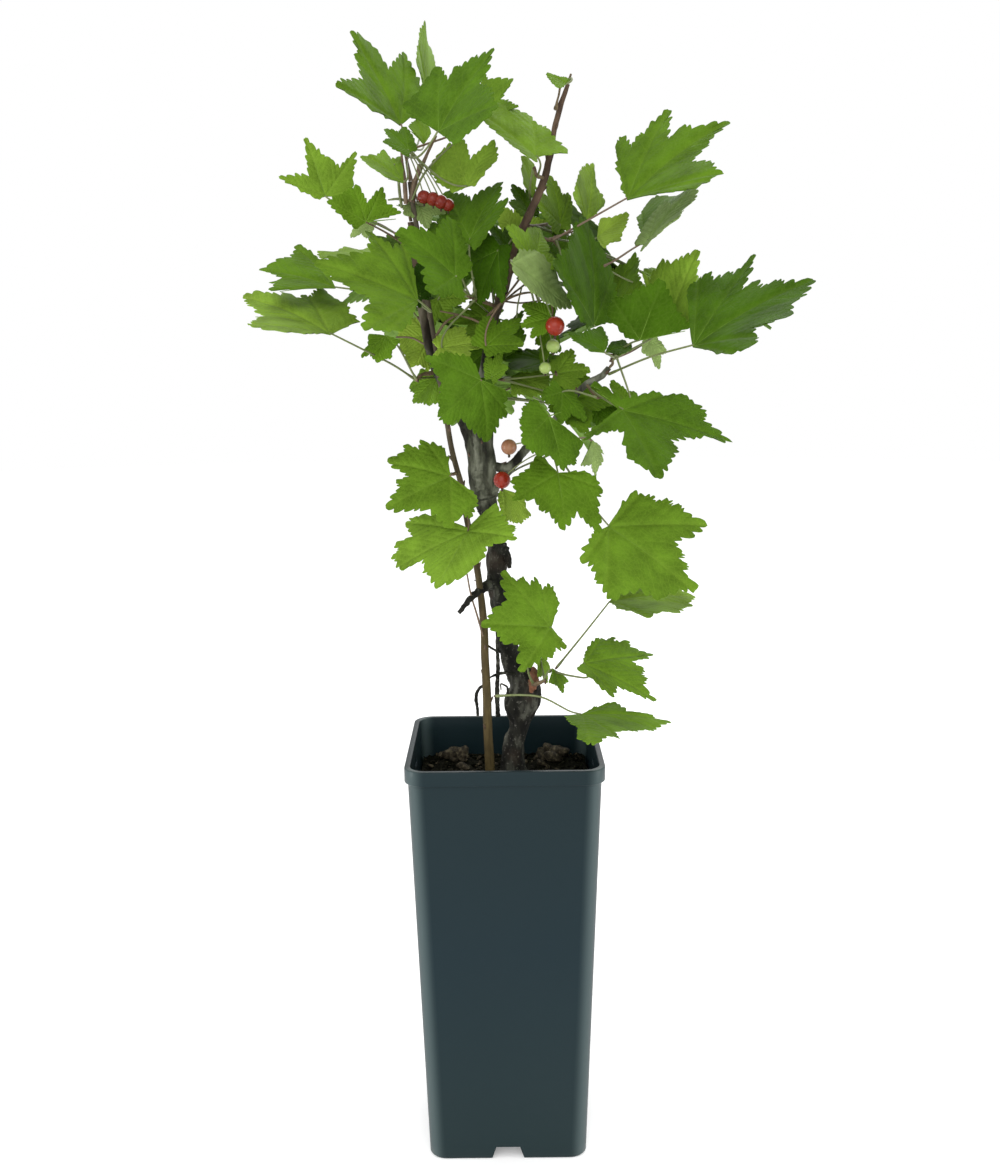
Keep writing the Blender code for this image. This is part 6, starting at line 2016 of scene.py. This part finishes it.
# The leaves' greens, from light to dark, then pale ones and undersides, each with its side veins'. The steps from
# light to dark are partly the leaves' own tints and partly painted light: painted backlight in the lighter ones,
# painted shade in the darker ones.
LEAF_GREENS_AND_PAINTED_LIGHT = {
    "a": ((0.146, 0.245, 0.0240), (0.247, 0.361, 0.046)),
    "b": ((0.114, 0.203, 0.0165), (0.190, 0.304, 0.036)),
    "c": ((0.091, 0.172, 0.0120), (0.162, 0.266, 0.027)),
    "d": ((0.071, 0.143, 0.0075), (0.133, 0.228, 0.022)),
    "e": ((0.054, 0.115, 0.0060), (0.104, 0.190, 0.018)),
    "f": ((0.038, 0.089, 0.0030), (0.085, 0.152, 0.018)),
    "g": ((0.025, 0.065, 0.0015), (0.057, 0.114, 0.010)),
    "h": ((0.015, 0.044, 0.0015), (0.038, 0.085, 0.009)),
    "y": ((0.215, 0.327, 0.0360), (0.323, 0.456, 0.073)),
    "p": ((0.185, 0.260, 0.080), (0.26, 0.36, 0.12)),
    "u": ((0.105, 0.190, 0.030), (0.20, 0.30, 0.08)),
}
LETTERS = "".join(LEAF_GREENS_AND_PAINTED_LIGHT)
PALE, UNDERSIDE, VEIN = LETTERS.index("p"), LETTERS.index("u"), len(LETTERS)
TWIG, PETIOLE, PETIOLE_RED, BUD = range(4)
BARK, SHOOT, BARED = range(3)
GREEN_STALKS = {"base_right": (3,)}
CALYX = 4
BERRY_SIZES = {"crown_top_left": 0.8}
FRUIT_TINTS = {"crown_top_left": "dddd", "centre_right": "rgg", "right_low": "pr"}
BUD_SPACING = 17 * MM
FORK_SWELL = 0.35
BOUGH_SHIFT = 4.0 * MM
FORK_REACH = 75 * MM
THINS = {"young_shoot": ((0.30, 0.38), (1.0, 0.8)), "right_bough": ((0.44, 0.50), (1.0, 0.86))}
ARC_BLEND = 0.5 * MM
POT_WIDENED = 1.018
FLAT_STEPS = 6
OPENING_STEPS = 4
ARC_STEPS = 10
COMPOST_SHARES = (1.0, 0.97, 0.93, 0.88, 0.83, 0.78, 0.73, 0.67, 0.61, 0.55, 0.48, 0.41, 0.33, 0.25, 0.16, 0.08)
CHIPS = ((-12, -36, 26), (21, -35, 28), (-28, 30, 14), (30, 30, 16))
CHIP_SPREAD = 9.3 * MM
CRUMBS = 420
WIRES = (
    ((498, 716, -4, 2.8), (497, 690, -8, 2.5), (498, 664, -8, 2.2), (497, 640, -5, 1.6), (499, 618, -2, 1.2)),
    ((484, 685, -10, 1.5), (479, 689, -10, 1.7), (476, 697, -10, 2.0), (477, 706, -9, 1.8), (478, 716, -8, 1.6)),
    ((514, 674, -6, 1.8), (502, 673, -10, 1.7), (495, 675, -11, 1.4), (489, 678, -11, 0.9)),
    ((508, 694, -8, 1.3), (506, 686, -11, 1.1), (501, 684, -11, 0.9), (501, 690, -11, 0.7)),
    ((500, 652, -6, 1.5), (493, 649, -10, 1.3), (487, 645, -11, 0.9)),
    ((484, 588, -6, 1.5), (480, 582, -8, 1.0), (474, 580, -9, 0.6)),
    ((491, 494, -2, 4.4), (501, 481, -3, 4.8), (511, 467, -4, 4.8), (523, 452, -6, 4.4)),
    ((491, 522, 0, 8.4), (486, 501, 0, 12.0), (483, 487, 1, 11.0), (480, 470, 1, 8.4)),
    ((484, 490, 0, 5.0), (480, 460, 1, 5.6), (477, 434, 2, 5.4), (474, 412, 4, 4.2), (471, 396, 5, 2.6)),
)
SNAG_SIZE = np.array([1, 1, 1, 1.5])
WOUND = ((531, 692, -9, 2.0), (533, 686, -10, 4.6), (534, 679, -10, 5.4), (534, 672, -8, 4.4), (533, 667, -6, 1.6))
# Stalks and bared shoots among the leaves of a region, each with its kind
TWIGS = {
    "top": (
        (2, ((411, 202, -8, 3.0), (414, 184, -9, 2.8), (421, 168, -10, 2.2), (428, 152, -12, 1.6), (436, 136, -20, 1.3))),
        (2, ((406, 204, -9, 2.2), (405, 188, -10, 2.4), (404, 176, -10, 2.0), (402, 160, -11, 1.3), (401, 140, -12, 1.1))),
        (1, ((412, 200, -10, 1.2), (424, 174, -12, 1.2), (440, 156, -14, 1.1), (458, 140, -14, 1.0))),
        (1, ((402, 208, -6, 1.5), (400, 196, -8, 1.6), (398, 178, -12, 1.4), (394, 164, -16, 1.0))),
        (0, ((556, 109, -9, 2.6), (557, 102, -12, 1.2), (559, 94, -14, 1.1), (560, 87, -16, 1.3))),
        (1, ((388, 200, -4, 0.8), (398, 199, -6, 1.4), (410, 202, -6, 1.6), (424, 206, -4, 1.2))),
    ),
    "centre": (
        (0, ((486, 318, -2, 1.6), (500, 304, -4, 1.4), (520, 294, -8, 1.2), (545, 292, -12, 1.0))),
        (0, ((494, 312, -2, 1.4), (508, 298, -2, 1.2), (528, 282, 0, 1.0))),
        (0, ((498, 300, 2, 1.2), (518, 303, 4, 1.0), (545, 300, 6, 0.9))),
        (1, ((516, 322, -6, 0.8), (518, 304, -6, 0.8), (522, 286, -6, 0.8))),
        (0, ((489, 343, -8, 1.4), (482, 325, -8, 1.3), (462, 316, -8, 1.1), (440, 311, -10, 0.9))),
        (0, ((436, 336, -8, 1.6), (446, 322, -8, 1.3), (458, 314, -6, 1.0))),
        (2, ((424, 344, -12, 1.0), (412, 338, -12, 1.0), (396, 337, -12, 0.9))),
    ),
    "low": ((2, ((483, 636, -15, 1.2), (477, 615, -17, 1.1), (471, 595, -18, 1.0), (467, 574, -18, 0.9))),),
}

low, high = (np.array(corner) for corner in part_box("pot"))
shift = (low + high) / 2 * [1, 1, 0]
limbs, foliage = grow()

# One leaf material per green; the lighter and darker ones carry painted backlight and shade as well as the leaves' own
# tints.
leaf_materials = [
    leaf_finish(f"leaf_{letter}", colour, vein, 0.7 if letter in "pu" else 0.6)
    for letter, (colour, vein) in LEAF_GREENS_AND_PAINTED_LIGHT.items()
]
leaf_materials.append(plain_finish("leaf_vein", (0.105, 0.19, 0.022), 0.6, 300.0, 0.15, 0.1 * MM, specular=0.1))
twig_materials = [
    plain_finish("twig_bark", (0.12, 0.085, 0.045), 0.75, 420.0, 0.4, 0.3 * MM, (1, 1, 0.3)),
    plain_finish("petiole_green", (0.13, 0.155, 0.055), 0.5, 260.0, 0.2, 0.1 * MM),
    plain_finish("petiole_red", (0.13, 0.085, 0.050), 0.5, 260.0, 0.25, 0.1 * MM),
    plain_finish("bud_scale", (0.070, 0.040, 0.022), 0.7, 700.0, 0.4, 0.3 * MM),
]
limb_materials = [
    bark_finish(),
    shoot_finish(),
    plain_finish("bared_wood", (0.15, 0.060, 0.028), 0.8, 500.0, 0.45, 0.5 * MM, (1, 1, 0.3)),
    twig_materials[BUD],
]
fruit_materials = [
    berry_finish("berry_ripe", (0.165, 0.010, 0.004), (0.29, 0.032, 0.015)),
    berry_finish("berry_pink", (0.215, 0.085, 0.045), (0.29, 0.165, 0.085)),
    berry_finish("berry_unripe", (0.18, 0.26, 0.06), (0.30, 0.38, 0.12)),
    berry_finish("berry_dark", (0.110, 0.007, 0.003), (0.20, 0.022, 0.010)),
    plain_finish("berry_calyx", (0.035, 0.022, 0.012), 0.9, 900.0, 0.5, 0.3 * MM),
]

for name, plan in MASSES.items():
    assert len(foliage[name].leaves) == len(plan.leaves), name
for name, items in BEHIND.items():
    for item in items:
        blade = drawn_blade(item)
        bases = [grown.blade.origin for grown in foliage[name].leaves]
        start = min(bases, key=lambda base: np.linalg.norm(base - blade.origin))
        if np.linalg.norm(start - blade.origin) > NEIGHBOUR:
            start = foliage[name].stem.axis[-2]
        path = start + np.linspace(0, 1, 12)[:, None] * (blade.origin - start)
        foliage[name].leaves.append(SimpleNamespace(blade=blade, stalk=SimpleNamespace(path=path)))
for name, stalks in PETIOLES.items():
    for k, (text, depth) in stalks.items():
        grown = foliage[name].leaves[k]
        grown.stalk = drawn_petiole(grown.blade, text, depth)
covers = [
    drawn(on_blade(grown.blade, radii * np.cos(angles), radii * np.sin(angles)))
    for name in MASSES
    for k, grown in enumerate(foliage[name].leaves)
    for angles, radii in [corners_of(grown.blade, outline_of(name, k))]
]
hides, ways = hiding_map(covers), ways_to_fit()
settled = [grown.blade for name in MASSES for grown in foliage[name].leaves]
for name, (_, _, box, depths, count) in BACKS.items():
    item, kept = foliage[name], []
    for grown in item.leaves:
        moved = fitted(grown, hides, settled, ways)
        if moved:
            kept.append(moved)
            settled.append(moved.blade)
    first = len(kept)
    for _ in range(NEW_LEAF_TRIES):
        if len(kept) < count:
            moved = hidden_leaf(item.stem, box, depths, hides, settled)
            if moved:
                kept.append(moved)
                settled.append(moved.blade)
    print(name, count, len(item.leaves), first, len(kept))
    item.leaves = kept

for region, masses in REGIONS.items():
    skins, twigs = [], []
    for name in masses:
        letters = TINTS.get(name, "")
        for k, grown in enumerate(foliage[name].leaves):
            # A far-side leaf takes a green at random from the darker letters, which partly paint the shade inside the
            # crown.
            letter = letters[k] if letters else FAR_GREENS_AND_PAINTED_SHADE[int(dice.integers(len(FAR_GREENS_AND_PAINTED_SHADE)))]
            skins += leaf_surfaces(grown.blade, LETTERS.index(letter), outline_of(name, k))
        twigs += twig_surfaces(foliage[name], GREEN_STALKS.get(name, ()))
    twigs += [wire_surface(points, kind, 9, 0.1) for kind, points in TWIGS.get(region, ())]
    leaves = piece(f"leaves_{region}", skins, leaf_materials)
    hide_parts(*masses)
    piece(f"twigs_{region}", twigs, twig_materials)

berries = []
for name, tints in FRUIT_TINTS.items():
    for fruit, tint in zip(foliage[name].berries, tints):
        fruit.radius *= BERRY_SIZES.get(name, 0.92)
        berries += berry_surfaces(fruit, "rpgd".index(tint))
piece("berries", berries, fruit_materials)

for name, item in limbs.items():
    parts = limb_parts(item)
    if name == "trunk":
        parts += [wire_surface(snag * SNAG_SIZE, BARK, 12, 0.3) for snag in SNAGS]
        parts += [wire_surface(wire, BARK) for wire in WIRES]
        parts.append(wire_surface(WOUND, BARED, 14, 0.35))
    bark = piece(f"bark_{name}", parts, limb_materials, 80)
    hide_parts(name)

pot = piece("pot_shell", [pot_surface()], [pot_finish()], 35)
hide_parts("pot")
compost = piece("compost_fill", compost_parts(), [compost_finish(), chip_finish()], 70)
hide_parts("compost")


# Studio

FLOOR_HALF = 5.0
FLOOR_GLOW = 0.2


def floor_surface():
    """A round floor: rings of growing radius round a middle point."""
    radius = np.geomspace(0.02, FLOOR_HALF, 14)[:, None]
    angle = np.arange(64)[None] * 2 * math.pi / 64
    points = np.stack(np.broadcast_arrays(radius * np.cos(angle), radius * np.sin(angle), 0 * radius), -1)
    at = np.arange(points.size // 3).reshape(len(radius), 64)
    quads = np.vstack([grid_quads(len(radius), 64)[:, [0, 3, 2, 1]], fan(at.size, at[0])])
    return np.vstack([points.reshape(-1, 3), [[0, 0, 0]]]), quads


def light(name, spot, wide, high, power, aim=0.35):
    """A soft oblong light at a spot, facing the plant at a height."""
    lamp = bpy.data.lights.new(name, "AREA")
    lamp.shape, lamp.size, lamp.size_y, lamp.energy = "RECTANGLE", wide, high, power
    thing = bpy.data.objects.new(name, lamp)
    away = unit(np.array(spot) - [0, 0, aim])
    side = unit(np.cross([0, 0, 1.0], away))
    turn = np.eye(4)
    turn[:3, 0], turn[:3, 1], turn[:3, 2], turn[:3, 3] = side, np.cross(away, side), away, spot
    thing.matrix_world = Matrix(turn.tolist())
    bpy.context.scene.collection.objects.link(thing)


floor_points, floor_quads = floor_surface()
floor_mesh = bpy.data.meshes.new("floor")
floor_mesh.from_pydata(floor_points.tolist(), [], [sorted(set(q), key=list(q).index) for q in floor_quads.tolist()])
floor_mesh.shade_smooth()
floor = bpy.data.objects.new("floor", floor_mesh)
bpy.context.scene.collection.objects.link(floor)
paper = plain_finish("floor_paper", (0.86, 0.86, 0.86), 0.95, 3.0, 0.01, 0.01 * MM, specular=0.0)
paper_shader = paper.node_tree.nodes["Principled BSDF"]
paper_shader.inputs["Emission Color"].default_value = (1, 1, 1, 1)
paper_shader.inputs["Emission Strength"].default_value = FLOOR_GLOW
floor_mesh.materials.append(paper)

world = bpy.data.worlds.new("studio")
bpy.context.scene.world = world
world.use_nodes = True
world.node_tree.nodes["Background"].inputs["Color"].default_value = (1, 1, 1, 1)
world.node_tree.nodes["Background"].inputs["Strength"].default_value = 1.0
light("key", (-0.4, -1.7, 1.2), 2.0, 2.0, 26)
light("back", (0.4, 1.4, 1.6), 1.2, 1.2, 16)
light("left_strip", (-1.1, -0.35, 0.16), 0.16, 0.6, 6.0, 0.12)
light("right_strip", (1.1, -0.35, 0.16), 0.16, 0.6, 6.0, 0.12)
bpy.context.scene.view_settings.view_transform = "Standard"

ahead = np.array([0, math.cos(LOOKS_DOWN), -math.sin(LOOKS_DOWN)])
above = np.array([0, math.sin(LOOKS_DOWN), math.cos(LOOKS_DOWN)])
right = np.array([math.cos(LEANS), 0, 0]) + math.sin(LEANS) * above
up = math.cos(LEANS) * above - np.array([math.sin(LEANS), 0, 0])
camera_data = bpy.data.cameras.new("camera")
camera_data.sensor_fit = "VERTICAL"
camera_data.sensor_height = SENSOR
camera_data.lens = FOCAL / PICTURE_HIGH * SENSOR
camera = bpy.data.objects.new("camera", camera_data)
bpy.context.scene.collection.objects.link(camera)
turn = np.eye(4)
turn[:3, 0], turn[:3, 1], turn[:3, 2], turn[:3, 3] = right, up, -ahead, EYE + shift
camera.matrix_world = Matrix(turn.tolist())
bpy.context.scene.camera = camera
